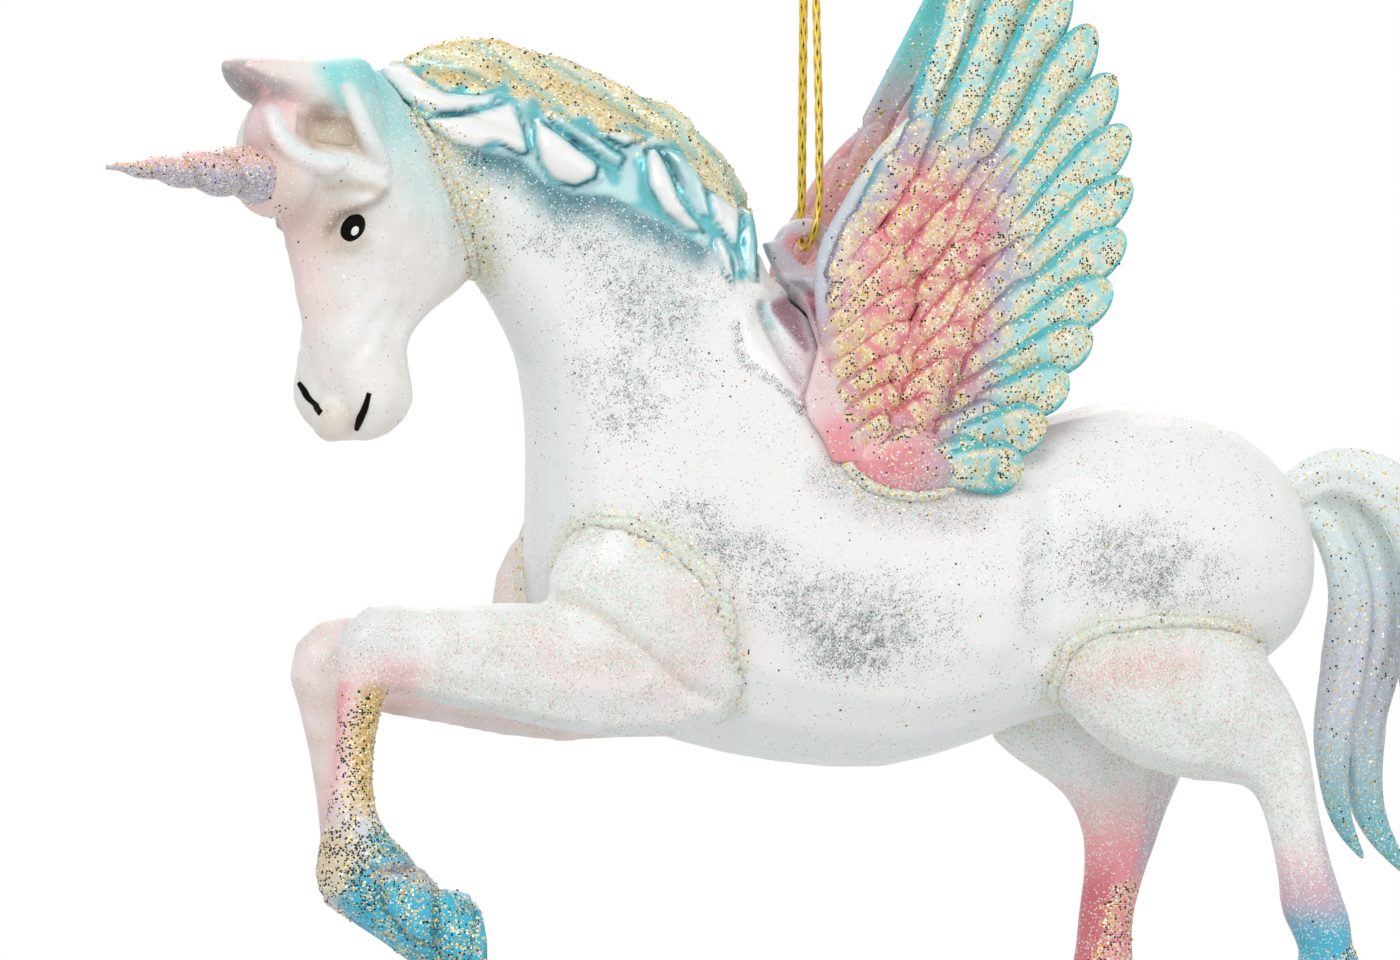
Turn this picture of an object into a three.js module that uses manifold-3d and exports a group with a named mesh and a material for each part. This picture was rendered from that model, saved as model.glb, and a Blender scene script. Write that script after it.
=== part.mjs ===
// A hanging ornament in the shape of a winged unicorn.
// A silvered, hollow blown-glass body carries a cast resin head, horn, legs, wings, saddle and tail,
// each glued on with a bead of glitter glue. A loop of gold cord runs through an eyelet on the saddle.
// Millimetres, +Z up. The unicorn faces -X and its left side is towards -Y.
// The origin is the point under the cord's knot where a hook carries the loop.

import * as THREE from 'three';
import { mergeVertices } from 'three/addons/utils/BufferGeometryUtils.js';
import Module from 'manifold-3d';

const wasm = await Module();
wasm.setup();

// Driving dimensions: the whole figure, from the horn's tip to the tail's end and from wing tips to soles
const figureLength = 185;
const figureHeight = 149;

// Driving dimensions: cord and eyelet
const cordDiameter = 1.1;
const cordDrop = 52;
const knotRadius = 1.7;
const knotHeight = 4.2;
const knotTailLength = 9;
const eyeletHoleRadius = 1.75;
const eyeletBar = 2.2;
const eyeletThickness = 2.4;

// Driving dimensions: glass body
const barrelHalfWidth = 15.5;
const neckHalfWidth = 9.5;
const glassWall = 0.9;
const rumpWall = 2.9;
const pikeHoleRadius = 1.6;
const lockHalfThick = 1.9;

// Driving dimensions: resin pieces
const headTurn = 30;
const headHalfWidth = 8;
const headWall = 1.9;
const hollowMouth = 3;
const earLength = 20.6;
const earHalfWidth = 6;
const hornLength = 29;
const hornBaseRadius = 3.7;
const hornRidge = 0.28;
const hornTurns = 4.5;
const hornSocketDepth = 2.5;
const forelegHalfWidth = 4.7;
const forelegSpread = 9;
const farCannonSwing = 14;
const farHoofFold = 14;
const farShoulderDrop = 2.3;
const hindlegHalfWidth = 6.2;
const hindlegSpread = 9;
const featherHalfThick = 0.9;
const covertStep = 0.75;
const webHalfThick = 0.5;
const wingArmRadius = 2.1;
const farWingLean = 5;
const saddleHalfWidth = 7.4;
const saddleThickness = 1.5;
const tailHalfThick = 2.6;

// Driving dimensions: glue
const glueGap = 0.3;
const beadThickness = 0.5;

// Mesh resolution
const bodyRings = 32;
const bodySides = 20;
const cavitySides = 12;
const legRings = 24;
const legSides = 10;
const headRings = 22;
const headSides = 20;
const beadRings = 14;
const beadSides = 10;

const vec = (x, y, z) => new THREE.Vector3(x, y, z);
const cordRadius = cordDiameter / 2;
const beadReach = glueGap + beadThickness;

// Side outlines are pairs of x and z about the eyelet, drawn for a figure of this size.
// They stretch with the figure's length and height.
const drawnSize = { length: 185, height: 149 };
const stretch = vec(figureLength / drawnSize.length, 1, figureHeight / drawnSize.height);
const drawn = (points) => points.map(([x, z]) => [x * stretch.x, z * stretch.z]);
const drawnAt = (x, y, z) => vec(x, y, z).multiply(stretch);

// Every resin piece has its own finish, close to the colour it is mostly painted.
const finish = (color, roughness, metalness = 0) =>
  new THREE.MeshStandardMaterial({ color, roughness, metalness });
const pearlGlass = finish(0xe6e8ea, 0.25, 0.35);
const pearlResin = finish(0xefe9e4, 0.4);
const blushResin = finish(0xe9b9bd, 0.45);
const tealResin = finish(0x8fd3d6, 0.45);
const lilacResin = finish(0xb9b0bd, 0.45);
const glitterGlue = finish(0xc9b98d, 0.4, 0.4);
const goldCord = finish(0xc99a2e, 0.35, 0.8);

// Solids: closed meshes that can be joined and cut
function solidOf(geometry) {
  const bare = geometry.clone();
  for (const name of Object.keys(bare.attributes)) {
    if (name !== 'position') bare.deleteAttribute(name);
  }
  const merged = mergeVertices(bare, 1e-5);
  const mesh = new wasm.Mesh({
    numProp: 3,
    vertProperties: new Float32Array(merged.attributes.position.array),
    triVerts: new Uint32Array(merged.index.array),
  });
  return new wasm.Manifold(mesh);
}

function geometryOf(positions, index) {
  const geometry = new THREE.BufferGeometry();
  geometry.setAttribute('position', new THREE.Float32BufferAttribute(positions, 3));
  geometry.setIndex(index);
  return geometry;
}

// The largest connected body of a solid, without the slivers that a cut can leave beside it
function largestBody(solid) {
  const mesh = solid.getMesh();
  const points = mesh.vertProperties;
  const owner = Array.from({ length: points.length / 3 }, (_, i) => i);
  const find = (i) => {
    while (owner[i] !== i) i = owner[i] = owner[owner[i]];
    return i;
  };
  const faces = [];
  for (let i = 0; i < mesh.triVerts.length; i += 3) {
    const [a, b, c] = mesh.triVerts.subarray(i, i + 3);
    faces.push([a, b, c]);
    owner[find(b)] = find(a);
    owner[find(c)] = find(a);
  }
  const volumes = new Map();
  const corner = (i) => vec(points[3 * i], points[3 * i + 1], points[3 * i + 2]);
  for (const [a, b, c] of faces) {
    const part = corner(a).dot(corner(b).cross(corner(c)));
    volumes.set(find(a), (volumes.get(find(a)) ?? 0) + part);
  }
  const [best] = [...volumes].reduce((x, y) => (y[1] > x[1] ? y : x));
  const kept = faces.filter(([a]) => find(a) === best).flat();
  return geometryOf(points, kept);
}

// A closed skin over rings that all have the same number of points
function loft(rings) {
  const sides = rings[0].length;
  const last = rings.length - 1;
  const positions = rings.flat().flatMap((p) => [p.x, p.y, p.z]);
  const index = [];
  for (let r = 0; r < last; r += 1) {
    for (let s = 0; s < sides; s += 1) {
      const a = r * sides + s;
      const b = r * sides + ((s + 1) % sides);
      index.push(a, b, b + sides, a, b + sides, a + sides);
    }
  }
  for (const r of [0, last]) {
    const middle = rings[r].reduce((sum, p) => sum.add(p), vec(0, 0, 0)).divideScalar(sides);
    const hub = positions.push(middle.x, middle.y, middle.z) / 3 - 1;
    for (let s = 0; s < sides; s += 1) {
      const a = r * sides + s;
      const b = r * sides + ((s + 1) % sides);
      index.push(...(r === 0 ? [b, a, hub] : [a, b, hub]));
    }
  }
  const corner = (i) => vec(positions[3 * i], positions[3 * i + 1], positions[3 * i + 2]);
  let volume = 0;
  for (let i = 0; i < index.length; i += 3) {
    volume += corner(index[i]).dot(corner(index[i + 1]).cross(corner(index[i + 2])));
  }
  if (volume < 0) index.reverse();
  return geometryOf(positions, index);
}

// A smooth list of values through hand-chosen ones, at a place from 0 to 1
function along(values, place) {
  const points = values.map((v) => (Array.isArray(v) ? vec(v[0], v[1], v[2] ?? 0) : vec(v, 0, 0)));
  return new THREE.CatmullRomCurve3(points, false, 'catmullrom', 0.5).getPoint(place);
}

// A point on a unit circle whose corners are squared off as the power rises above 2
const roundedSquare = (turn, power) => [Math.cos(turn), Math.sin(turn)]
  .map((part) => Math.sign(part) * Math.abs(part) ** (2 / power));

// A limb or body whose side view is given by two edges. At each place a ring is spread between the
// two edges, and bulges sideways by the half width. grow swells it evenly, ends as well.
function edgeRings({ front, back, widths, depth, square = 2 }, rings, sides, grow = 0) {
  const edges = [];
  for (let r = 0; r < rings; r += 1) {
    const place = r / (rings - 1);
    const a = along(front, place);
    const b = along(back, place);
    edges.push({
      a: vec(a.x, 0, a.y),
      b: vec(b.x, 0, b.y),
      half: along(widths, place).x + grow,
      y: along(depth, place).x,
    });
  }
  return edges.map(({ a, b, half, y }, r) => {
    const centre = a.clone().add(b).multiplyScalar(0.5);
    const reach = a.clone().sub(centre);
    reach.setLength(reach.length() + grow);
    const end = r === 0 ? 1 : r === rings - 1 ? rings - 2 : null;
    if (end !== null) {
      const inner = edges[end].a.clone().add(edges[end].b).multiplyScalar(0.5);
      centre.add(centre.clone().sub(inner).setLength(grow));
    }
    return Array.from({ length: sides }, (_, s) => {
      const [up, out] = roundedSquare((2 * Math.PI * s) / sides, square);
      return centre.clone().addScaledVector(reach, up).add(vec(0, y - half * out, 0));
    });
  });
}

const evenly = (steps) => Array.from({ length: steps + 1 }, (_, k) => k / steps);

// A tapering leaf along a curve: a feather, a lock of hair or an ear
function leaf(curve, across, halfWidth, halfThick, shape, places, sides) {
  const rings = [];
  for (const place of places) {
    const tangent = curve.getTangent(place);
    const side = across(curve.getPoint(place), tangent).normalize();
    const face = tangent.clone().cross(side).normalize();
    const { wide, thick } = shape(place);
    rings.push(Array.from({ length: sides }, (_, s) => {
      const turn = (2 * Math.PI * s) / sides;
      return curve.getPoint(place)
        .addScaledVector(side, halfWidth * wide * Math.cos(turn))
        .addScaledVector(face, halfThick * thick * Math.sin(turn));
    }));
  }
  return loft(rings);
}

// Side outline of the body from the head seam over the mane, withers, back and rump, and underneath
// from the throat over the chest and belly
const bodyShape = {
  front: drawn([[-54, 20], [-46.5, 22.6], [-39, 23], [-31, 20.4], [-22, 16.6], [-15, 12.4], [-9.4, 6],
    [-5.8, -2.2], [-0.5, -7.5], [5.5, -13], [13, -18.5], [20, -21], [26, -21], [32.5, -19.5], [39, -18],
    [48, -19], [55.5, -22], [61.5, -27.5], [64, -34]]),
  back: drawn([[-43.5, -1.5], [-41, -5], [-38.5, -9], [-36, -14.5], [-35, -22.5], [-35, -31], [-35, -39.5],
    [-32.5, -48], [-25, -55.5], [-13.5, -59.5], [-2, -61.5], [9.5, -62], [20, -59.5], [28.5, -56.5],
    [39, -54.5], [49, -52.5], [57, -50], [62, -46], [64.5, -40]]),
  widths: [0.92, 0.97, 1, 1.07, 1.16, null, null, 0.95, 0.99, 1, 1, 1, 1, 1, 1, 0.95, 0.82, 0.58, 0.22]
    .map((share, i, all) => {
      const neckEnd = 4;
      const barrelStart = 7;
      if (i <= neckEnd) return share * neckHalfWidth;
      if (i >= barrelStart) return share * barrelHalfWidth;
      const mix = (i - neckEnd) / (barrelStart - neckEnd);
      return (1 - mix) * all[neckEnd] * neckHalfWidth + mix * all[barrelStart] * barrelHalfWidth;
    }),
  depth: [-1.6, -0.6, 0, 0],
  square: 2.15,
};

// A point on the body's skin, by its place along the body and its angle from the crest
function bodySkin(place, angle, lift = 0) {
  const turn = THREE.MathUtils.degToRad(angle);
  const a = along(bodyShape.front, place);
  const b = along(bodyShape.back, place);
  const centre = vec((a.x + b.x) / 2, along(bodyShape.depth, place).x, (a.y + b.y) / 2);
  const reach = vec((a.x - b.x) / 2, 0, (a.y - b.y) / 2);
  reach.setLength(reach.length() + lift);
  const half = along(bodyShape.widths, place).x + lift;
  return centre.addScaledVector(reach, Math.cos(turn)).add(vec(0, -half * Math.sin(turn), 0));
}

// Locks on each side of the mane: the middle line of each in side view, and its half width
const maneLocks = [
  { path: [[-55.2, 21], [-53.9, 19.1], [-50.5, 17.2], [-46, 16.2], [-41.3, 17.4]], half: 2.1 },
  { path: [[-53, 17], [-50, 14.9], [-46.2, 13.2], [-42, 12.2], [-38.5, 11.6]], half: 2 },
  { path: [[-45, 19.6], [-40.2, 17.2], [-36, 15.1], [-31.6, 12.7], [-29, 10.9]], half: 1.6 },
  { path: [[-37.6, 13.8], [-35.8, 11.6], [-32.8, 9.6], [-29, 8.6]], half: 2.4 },
  { path: [[-29.8, 14], [-26.3, 13.2], [-22.6, 13.4]], half: 1.4 },
  { path: [[-24, 12], [-22.9, 8.5], [-20.8, 5.2], [-17, 1.7]], half: 2 },
  { path: [[-21.6, 12.6], [-18.1, 9.1], [-16, 5.5], [-15, 2]], half: 1.6 },
  { path: [[-15, 2.2], [-13.7, -1.3], [-12.2, -5]], half: 1.3 },
  { path: [[-11, 6.4], [-10.6, 1.9], [-10, -4.4]], half: 1.3 },
].map(({ path, half }) => ({ path: drawn(path), half }));
// Locks along the crest: where each starts and ends along the body, and its angles from the crest
const crestLocks = [
  { from: 0.015, to: 0.16, high: -6, low: 12, half: 3.2 },
  { from: 0.09, to: 0.25, high: 6, low: -10, half: 3.2 },
  { from: 0.17, to: 0.325, high: -6, low: 10, half: 3 },
  { from: 0.24, to: 0.375, high: 4, low: -6, half: 2.8 },
];

const lockPlaces = [0, 0.2, 0.45, 0.7, 0.88, 1];
const lockSides = 6;
const lockShape = (place) => ({
  wide: Math.max(0.1, Math.sin(Math.PI * (0.12 + 0.85 * place))) ** 0.8,
  thick: Math.max(0.1, Math.sin(Math.PI * (0.16 + 0.78 * place))) ** 0.6,
});

// The skin on each side of the neck, as points spread over it, and the one that lies at a place in side view
const neckSkins = new Map([1, -1].map((side) => {
  const points = [];
  for (let place = 0; place <= 0.46; place += 0.01) {
    for (let angle = 4; angle <= 100; angle += 3) points.push(bodySkin(place, side * angle));
  }
  return [side, points];
}));
const skinUnder = ([x, z], side) => neckSkins.get(side).reduce((best, point) =>
  (Math.hypot(point.x - x, point.z - z) < Math.hypot(best.x - x, best.z - z) ? point : best));

function lockOn(points, spine, half, thick) {
  const curve = new THREE.CatmullRomCurve3(points);
  const across = (point, tangent) => point.clone().sub(spine).cross(tangent);
  return solidOf(leaf(curve, across, half, thick, lockShape, lockPlaces, lockSides));
}

function sideLock({ path, half }, side, grow) {
  const points = path.map(([x, z]) => vec(x, skinUnder([x, z], side).y, z));
  const middle = points[Math.floor(points.length / 2)];
  const spine = vec(middle.x - 0.3 * neckHalfWidth, 0, middle.z - 0.3 * neckHalfWidth);
  return lockOn(points, spine, half + grow, Math.min(lockHalfThick, half) + grow);
}

function crestLock({ from, to, high, low, half }, grow) {
  const points = evenly(4).map((place) => {
    const bend = place + 0.14 * Math.sin(2 * Math.PI * place);
    const angle = THREE.MathUtils.lerp(high, low, bend);
    return bodySkin(THREE.MathUtils.lerp(from, to, place), angle, 0.2 * lockHalfThick);
  });
  const spine = bodySkin((from + to) / 2, high, -neckHalfWidth);
  return lockOn(points, spine, half + grow, 1.25 * lockHalfThick + grow);
}

function maneSolids(grow) {
  const solids = crestLocks.map((spec) => crestLock(spec, grow));
  for (const side of [1, -1]) {
    for (const spec of maneLocks) solids.push(sideLock(spec, side, grow));
  }
  return solids;
}

// The body as a full solid, swollen by grow, for the glass itself and for cutting what is glued to it
const bodyCore = (grow, rings = bodyRings, sides = bodySides) =>
  solidOf(loft(edgeRings(bodyShape, rings, sides, grow)));
const joined = (solids) => solids.reduce((all, next) => all.add(next));
const bodySolid = (grow) => joined([bodyCore(grow), ...maneSolids(grow)]);
const bodyCut = bodySolid(glueGap);

// The glass is thickest at the rump, where the blown bubble ends
function rumpEnd() {
  const [x, z] = bodyShape.front.at(-1);
  const depth = 5 * rumpWall;
  const block = new THREE.BoxGeometry(depth, 4 * barrelHalfWidth, figureHeight);
  return solidOf(block.translate(x - rumpWall + depth / 2, 0, z));
}

function glassBody() {
  const cavity = bodyCore(-glassWall, bodyRings, cavitySides).subtract(rumpEnd());
  const mouth = along(bodyShape.front, 0).add(along(bodyShape.back, 0)).multiplyScalar(0.5);
  const inner = along(bodyShape.front, 0.08).add(along(bodyShape.back, 0.08)).multiplyScalar(0.5);
  const pike = new THREE.CylinderGeometry(pikeHoleRadius, pikeHoleRadius, 12, 12);
  const aim = vec(mouth.x - inner.x, 0, mouth.y - inner.y).normalize();
  pike.applyQuaternion(new THREE.Quaternion().setFromUnitVectors(vec(0, 1, 0), aim));
  pike.translate(mouth.x, bodyShape.depth[0], mouth.y);
  return bodySolid(0).subtract(cavity).subtract(solidOf(pike));
}

// Head, in its own frame: f is forward along the brow, l towards the unicorn's left, z up.
// Levels from the lip up to the poll: front, back and half width as shares of the widest part.
const headLevels = {
  z: [-22.6, -21.2, -18.8, -16.5, -13.5, -11, -9, -7.4, -6, -4.2, -1.5, 3, 8.8, 13, 17, 20.5, 22.3],
  front: [-12, -10.8, -9.6, -9, -8, -7.1, -6.4, -5.8, -5.2, -4.5, -3.5, -2.2, -0.4, 0.4, 0, -3.8, -8.5],
  back: [-14.6, -17, -18.4, -18.4, -18.6, -19.6, -22, -24.6, -27.4, -31, -32, -30.5, -27, -23.5, -20.5, -17.5, -14],
  wide: [0.3, 0.62, 0.86, 0.88, 0.8, 0.74, 0.72, 0.73, 0.76, 0.82, 0.9, 0.98, 1, 0.92, 0.76, 0.55, 0.25],
  narrow: [0, 0, 0.02, 0.04, 0.1, 0.18, 0.22, 0.24, 0.25, 0.26, 0.28, 0.3, 0.3, 0.3, 0.25, 0.2, 0.1],
  square: [2.2, 2.6, 3, 3, 2.7, 2.4, 2.3, 2.2, 2.2, 2.1, 2.1, 2.1, 2.1, 2.1, 2.1, 2, 2],
};
const neckMouth = drawnAt(-52.4, -2, 0);

function headRing(place, grow, sides) {
  const level = (list) => along(list, place).x;
  const middle = (level(headLevels.front) + level(headLevels.back)) / 2;
  const reach = (level(headLevels.front) - level(headLevels.back)) / 2 + grow;
  const half = level(headLevels.wide) * headHalfWidth + grow;
  const tip = place === 0 ? -grow : place === 1 ? grow : 0;
  return Array.from({ length: sides }, (_, s) => {
    const [ahead, aside] = roundedSquare((2 * Math.PI * s) / sides, level(headLevels.square));
    const taper = 1 - level(headLevels.narrow) * ahead;
    return drawnAt(middle + reach * ahead, half * taper * aside, level(headLevels.z) + tip);
  });
}

// The head's frame in the ornament: forward turns from -X towards the left side
const turnAngle = THREE.MathUtils.degToRad(headTurn);
const headFrame = new THREE.Matrix4().makeBasis(
  vec(-Math.cos(turnAngle), -Math.sin(turnAngle), 0),
  vec(Math.sin(turnAngle), -Math.cos(turnAngle), 0),
  vec(0, 0, 1),
);
const headDepth = 22 * stretch.x;
headFrame.setPosition(
  neckMouth.x - headDepth * Math.cos(turnAngle), neckMouth.y - headDepth * Math.sin(turnAngle), 0);

function headCore(grow, count = headRings, sides = headSides) {
  const rings = [];
  for (let r = 0; r < count; r += 1) rings.push(headRing(r / (count - 1), grow, sides));
  return solidOf(loft(rings).applyMatrix4(headFrame));
}

// The head is cast hollow, and its hollow is open towards the neck
function headHollow() {
  const mouth = new THREE.CylinderGeometry(hollowMouth, hollowMouth, 2 * headDepth, 12).rotateZ(Math.PI / 2);
  const opening = solidOf(mouth.translate(-headDepth - 12, 0, 6).applyMatrix4(headFrame));
  return headCore(-headWall, 12, 12).add(opening);
}

function oval(centre, radii, around = 12, rows = 8) {
  const ball = new THREE.SphereGeometry(1, around, rows);
  ball.scale(radii.x, radii.y, radii.z);
  return ball.translate(centre.x, centre.y, centre.z);
}

// Ears: leaves that point forward over the brow, scooped out on their outer side
const earRoot = drawnAt(-10.5, 4.8, 13.2);
const earAim = vec(18.6, -3.7, 8.4).normalize();
const earShape = (place) => ({
  wide: place < 0.3 ? 0.4 + 0.6 * Math.sin((place / 0.3) * (Math.PI / 2))
    : 0.06 + 0.94 * Math.cos((Math.PI / 2) * ((place - 0.3) / 0.7) ** 1.25),
  thick: Math.min(1, 0.5 + 2 * place) - 0.8 * place ** 1.6,
});
const earThickness = 0.62;
const earScoop = { start: 0.06, stop: 0.93, width: 0.74, depth: 0.6, shift: 0.46, drop: 0.12 };

function ear(side) {
  const open = vec(0.3, 0.9, -0.12);
  open.addScaledVector(earAim, -open.dot(earAim)).normalize();
  const across = () => open.clone().cross(earAim);
  const run = (start, stop, shift, drop) => new THREE.LineCurve3(...[start, stop].map((place) =>
    earRoot.clone().addScaledVector(earAim, place * earLength)
      .addScaledVector(open, shift * earHalfWidth).add(vec(0, 0, -drop * earHalfWidth))));
  const shell = leaf(run(-0.12, 1, 0, 0), across, earHalfWidth, earHalfWidth * earThickness, earShape, evenly(8), 12);
  const { start, stop, width, depth, shift, drop } = earScoop;
  const hollow = leaf(run(start, stop, shift, drop), across, earHalfWidth * width, earHalfWidth * depth,
    earShape, evenly(6), 10);
  const place = new THREE.Matrix4().makeScale(1, side, 1).premultiply(headFrame);
  const settle = (geometry) => {
    const placed = geometry.applyMatrix4(place);
    if (side < 0) placed.setIndex([...placed.index.array].reverse());
    return solidOf(placed);
  };
  return settle(shell).subtract(settle(hollow));
}

const hornRoot = drawnAt(1.4, 0, 8.7);
const hornAim = vec(1, 0, 0.02).normalize();

// Horn: a slim cone with a ridge that winds round it, seated in a socket in the brow
function hornSolid(grow) {
  const steps = 22;
  const sides = 10;
  const rings = [];
  for (let k = 0; k <= steps; k += 1) {
    const place = k / steps;
    const centre = hornRoot.clone().addScaledVector(hornAim, place * (hornLength + hornSocketDepth));
    centre.addScaledVector(hornAim, -hornSocketDepth + (k === 0 ? -grow : k === steps ? grow : 0));
    const radius = hornBaseRadius * (1 - 0.94 * place ** 1.3) + grow;
    rings.push(Array.from({ length: sides }, (_, s) => {
      const turn = (2 * Math.PI * s) / sides;
      const ridge = Math.cos(turn - 2 * Math.PI * hornTurns * place) * hornRidge * (1 - 0.7 * place);
      return centre.clone().add(vec(0, (radius + ridge) * Math.cos(turn), (radius + ridge) * Math.sin(turn)));
    }));
  }
  return solidOf(loft(rings).applyMatrix4(headFrame));
}

function headSolid() {
  const forelock = solidOf(oval(drawnAt(-1.2, 0, 14.2), vec(3.8, 4.2, 4.6)).applyMatrix4(headFrame));
  const brow = solidOf(oval(drawnAt(-1.4, 0, 8.6), vec(4.2, 4.2, 4.7)).applyMatrix4(headFrame));
  const lip = solidOf(oval(drawnAt(-13.6, 0, -20), vec(3.4, 4.4, 2.4)).applyMatrix4(headFrame));
  return joined([headCore(0), forelock, brow, lip, ear(1), ear(-1)])
    .subtract(hornSolid(glueGap)).subtract(bodyCut).subtract(headHollow());
}

// Legs: the two edges of the side view from the shoulder or haunch down to the sole.
// A foreleg also has a lobe that lies over the shoulder.
const foreleg = {
  front: [[-17.5, -36.5], [-24.5, -36.5], [-30, -39], [-34.5, -42], [-40, -42.2], [-46, -42.5], [-52.5, -42.5],
    [-56.6, -42], [-60.8, -44], [-62.4, -48], [-62.4, -52.5], [-62.8, -59.5], [-63.7, -65.5], [-64.6, -69.5],
    [-65.4, -74], [-64.6, -77], [-60.5, -79.5], [-54.4, -84], [-51.4, -86.5], [-46, -91.5]],
  back: [[-11, -48], [-11.5, -54], [-16.5, -57.5], [-25.5, -58.5], [-34.5, -57.5], [-43.5, -55.5], [-51, -54],
    [-54.5, -53], [-56, -52.8], [-56.6, -53.8], [-57.2, -55.8], [-58, -60], [-58, -65.5], [-56.5, -69],
    [-54, -71.5], [-52, -73.5], [-51, -74], [-50, -75.2], [-49.5, -76.2], [-45.5, -77]],
  share: [0.6, 0.95, 1, 1, 0.98, 0.9, 0.82, 0.78, 0.76, 0.7, 0.58, 0.54, 0.56, 0.66, 0.76, 0.78, 0.8, 0.84, 0.86,
    1.08],
  bends: [{ ring: 0, at: [-14, -46] }, { ring: 8, at: [-59, -48.5] }, { ring: 13, at: [-60.5, -71] }],
  lobe: { at: [-23.5, -42.5], inset: 6, radii: [13, 6.2, 12.6] },
};
const hindlegNear = {
  front: [[29.5, -44], [33, -42], [39.5, -41], [46, -41.5], [52.5, -45], [56.5, -49.5], [60, -55], [61.5, -60.5],
    [62.5, -67], [64, -73], [65.5, -77.5], [66.5, -80.5], [66.8, -83.5], [69, -88]],
  back: [[28, -52.5], [32, -57.5], [38, -61.5], [45, -63.5], [50, -64], [53, -64.5], [54.6, -65.8], [55.6, -67.8],
    [56.8, -72], [57.6, -76], [58, -79.5], [60, -83.5], [60.2, -85.6], [58, -91.5]],
  share: [0.55, 0.9, 1, 0.98, 0.86, 0.7, 0.58, 0.52, 0.48, 0.56, 0.64, 0.66, 0.68, 0.92],
};
const hindlegFar = {
  front: [[27, -52], [27.6, -58.5], [32, -62], [36.6, -65.2], [39, -69.5], [39.3, -74.5], [38.6, -79.5], [38, -85],
    [36.5, -91], [36, -94.5], [34.5, -98], [33, -100.3], [30.5, -105.5]],
  back: [[53, -48], [53.4, -58.5], [52, -63.5], [50, -67.5], [48.4, -71.5], [46.8, -75.5], [45.5, -80.5], [45.5, -85],
    [46.2, -90], [46.6, -93], [45.2, -96.5], [45, -98.6], [46, -105.5]],
  share: [0.8, 1, 0.95, 0.84, 0.7, 0.56, 0.5, 0.5, 0.6, 0.64, 0.66, 0.7, 0.94],
};

// One leg, spread to its side. Turns are given from the fetlock up, and each moves all that lies below it.
function legShape(spec, side, spread, halfWidth, turns = []) {
  const bent = ([x, z], i) => {
    const point = new THREE.Vector2(x, z);
    turns.forEach((degrees, b) => {
      const { ring, at } = spec.bends.at(-1 - b);
      const ease = THREE.MathUtils.clamp((i - ring) / 2, 0, 1);
      point.rotateAround(new THREE.Vector2(...at), THREE.MathUtils.degToRad(degrees) * ease);
    });
    return [point.x, point.y];
  };
  const rootDepth = barrelHalfWidth * 0.66;
  const [lobeX, lobeZ] = spec.lobe?.at ?? [];
  return {
    lobe: spec.lobe && {
      centre: drawnAt(lobeX, -side * (barrelHalfWidth - spec.lobe.inset), lobeZ),
      radii: vec(...spec.lobe.radii),
    },
    front: drawn(spec.front.map(bent)),
    back: drawn(spec.back.map(bent)),
    widths: spec.share.map((share) => share * halfWidth),
    depth: [-side * rootDepth, -side * spread, -side * spread, -side * spread],
  };
}
function legSolid(shape, grow, rings = legRings, sides = legSides) {
  const limb = solidOf(loft(edgeRings(shape, rings, sides, grow)));
  if (!shape.lobe) return limb;
  return limb.add(solidOf(oval(shape.lobe.centre, shape.lobe.radii.clone().addScalar(grow), 2 * sides, sides)));
}
const legs = {
  foreleg_left: legShape(foreleg, 1, forelegSpread, forelegHalfWidth),
  foreleg_right: legShape(foreleg, -1, forelegSpread, forelegHalfWidth,
    [-farHoofFold, farCannonSwing, farShoulderDrop]),
  hindleg_left: legShape(hindlegNear, 1, hindlegSpread, hindlegHalfWidth),
  hindleg_right: legShape(hindlegFar, -1, hindlegSpread, hindlegHalfWidth),
};

// Saddle: a block on the withers between the wings, with a pommel and an upright eyelet
const eyeletReach = eyeletHoleRadius + eyeletBar;

function extrudeSide(outline, holes, halfWidth, bevel) {
  const shape = new THREE.Shape(outline.map(([x, z]) => new THREE.Vector2(x, z)));
  shape.holes.push(...holes);
  const flat = new THREE.ExtrudeGeometry(shape, {
    depth: 2 * (halfWidth - bevel),
    bevelEnabled: bevel > 0,
    bevelThickness: bevel,
    bevelSize: bevel,
    bevelOffset: -bevel,
    bevelSegments: 2,
    curveSegments: 20,
  });
  return flat.translate(0, 0, bevel - halfWidth).rotateX(Math.PI / 2);
}

const saddleOutline = drawn([[-3, -3.2], [-0.5, -6.5], [2, -12], [4, -18], [3.5, -25], [14, -27], [12, -18], [9, -10],
  [5.5, -4.6], [2, -2.8]]);
const apronOutline = drawn([[-3, -2.6], [-2.1, -6], [-2, -11.5], [-5.2, -17.5], [-5, -20], [-3.2, -22.5], [-2, -25.5],
  [9, -25.5], [9, -2.6]]);
const finOutline = drawn([[-5.4, 1], [-4.2, 1.1], [-2.6, -0.4], [3.4, -1], [4.6, -5], [-1, -6.5], [-3.4, -3.4]]);

function saddleSolid(grow) {
  const block = solidOf(extrudeSide(saddleOutline, [], saddleHalfWidth + grow, 0.8));
  const fin = solidOf(extrudeSide(finOutline, [], eyeletThickness / 2 + grow, 0));
  const ringOutline = new THREE.Path().absarc(0, 0, eyeletReach + grow, 0, 2 * Math.PI);
  const disc = ringOutline.getPoints(14).slice(0, -1).map((p) => [p.x, p.y]);
  const ring = solidOf(extrudeSide(disc, [], eyeletThickness / 2 + grow, 0));
  const strip = solidOf(extrudeSide(apronOutline, [], barrelHalfWidth, 0));
  const apron = bodyCore(saddleThickness + grow).intersect(strip);
  return joined([block, fin, ring, apron]);
}

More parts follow.
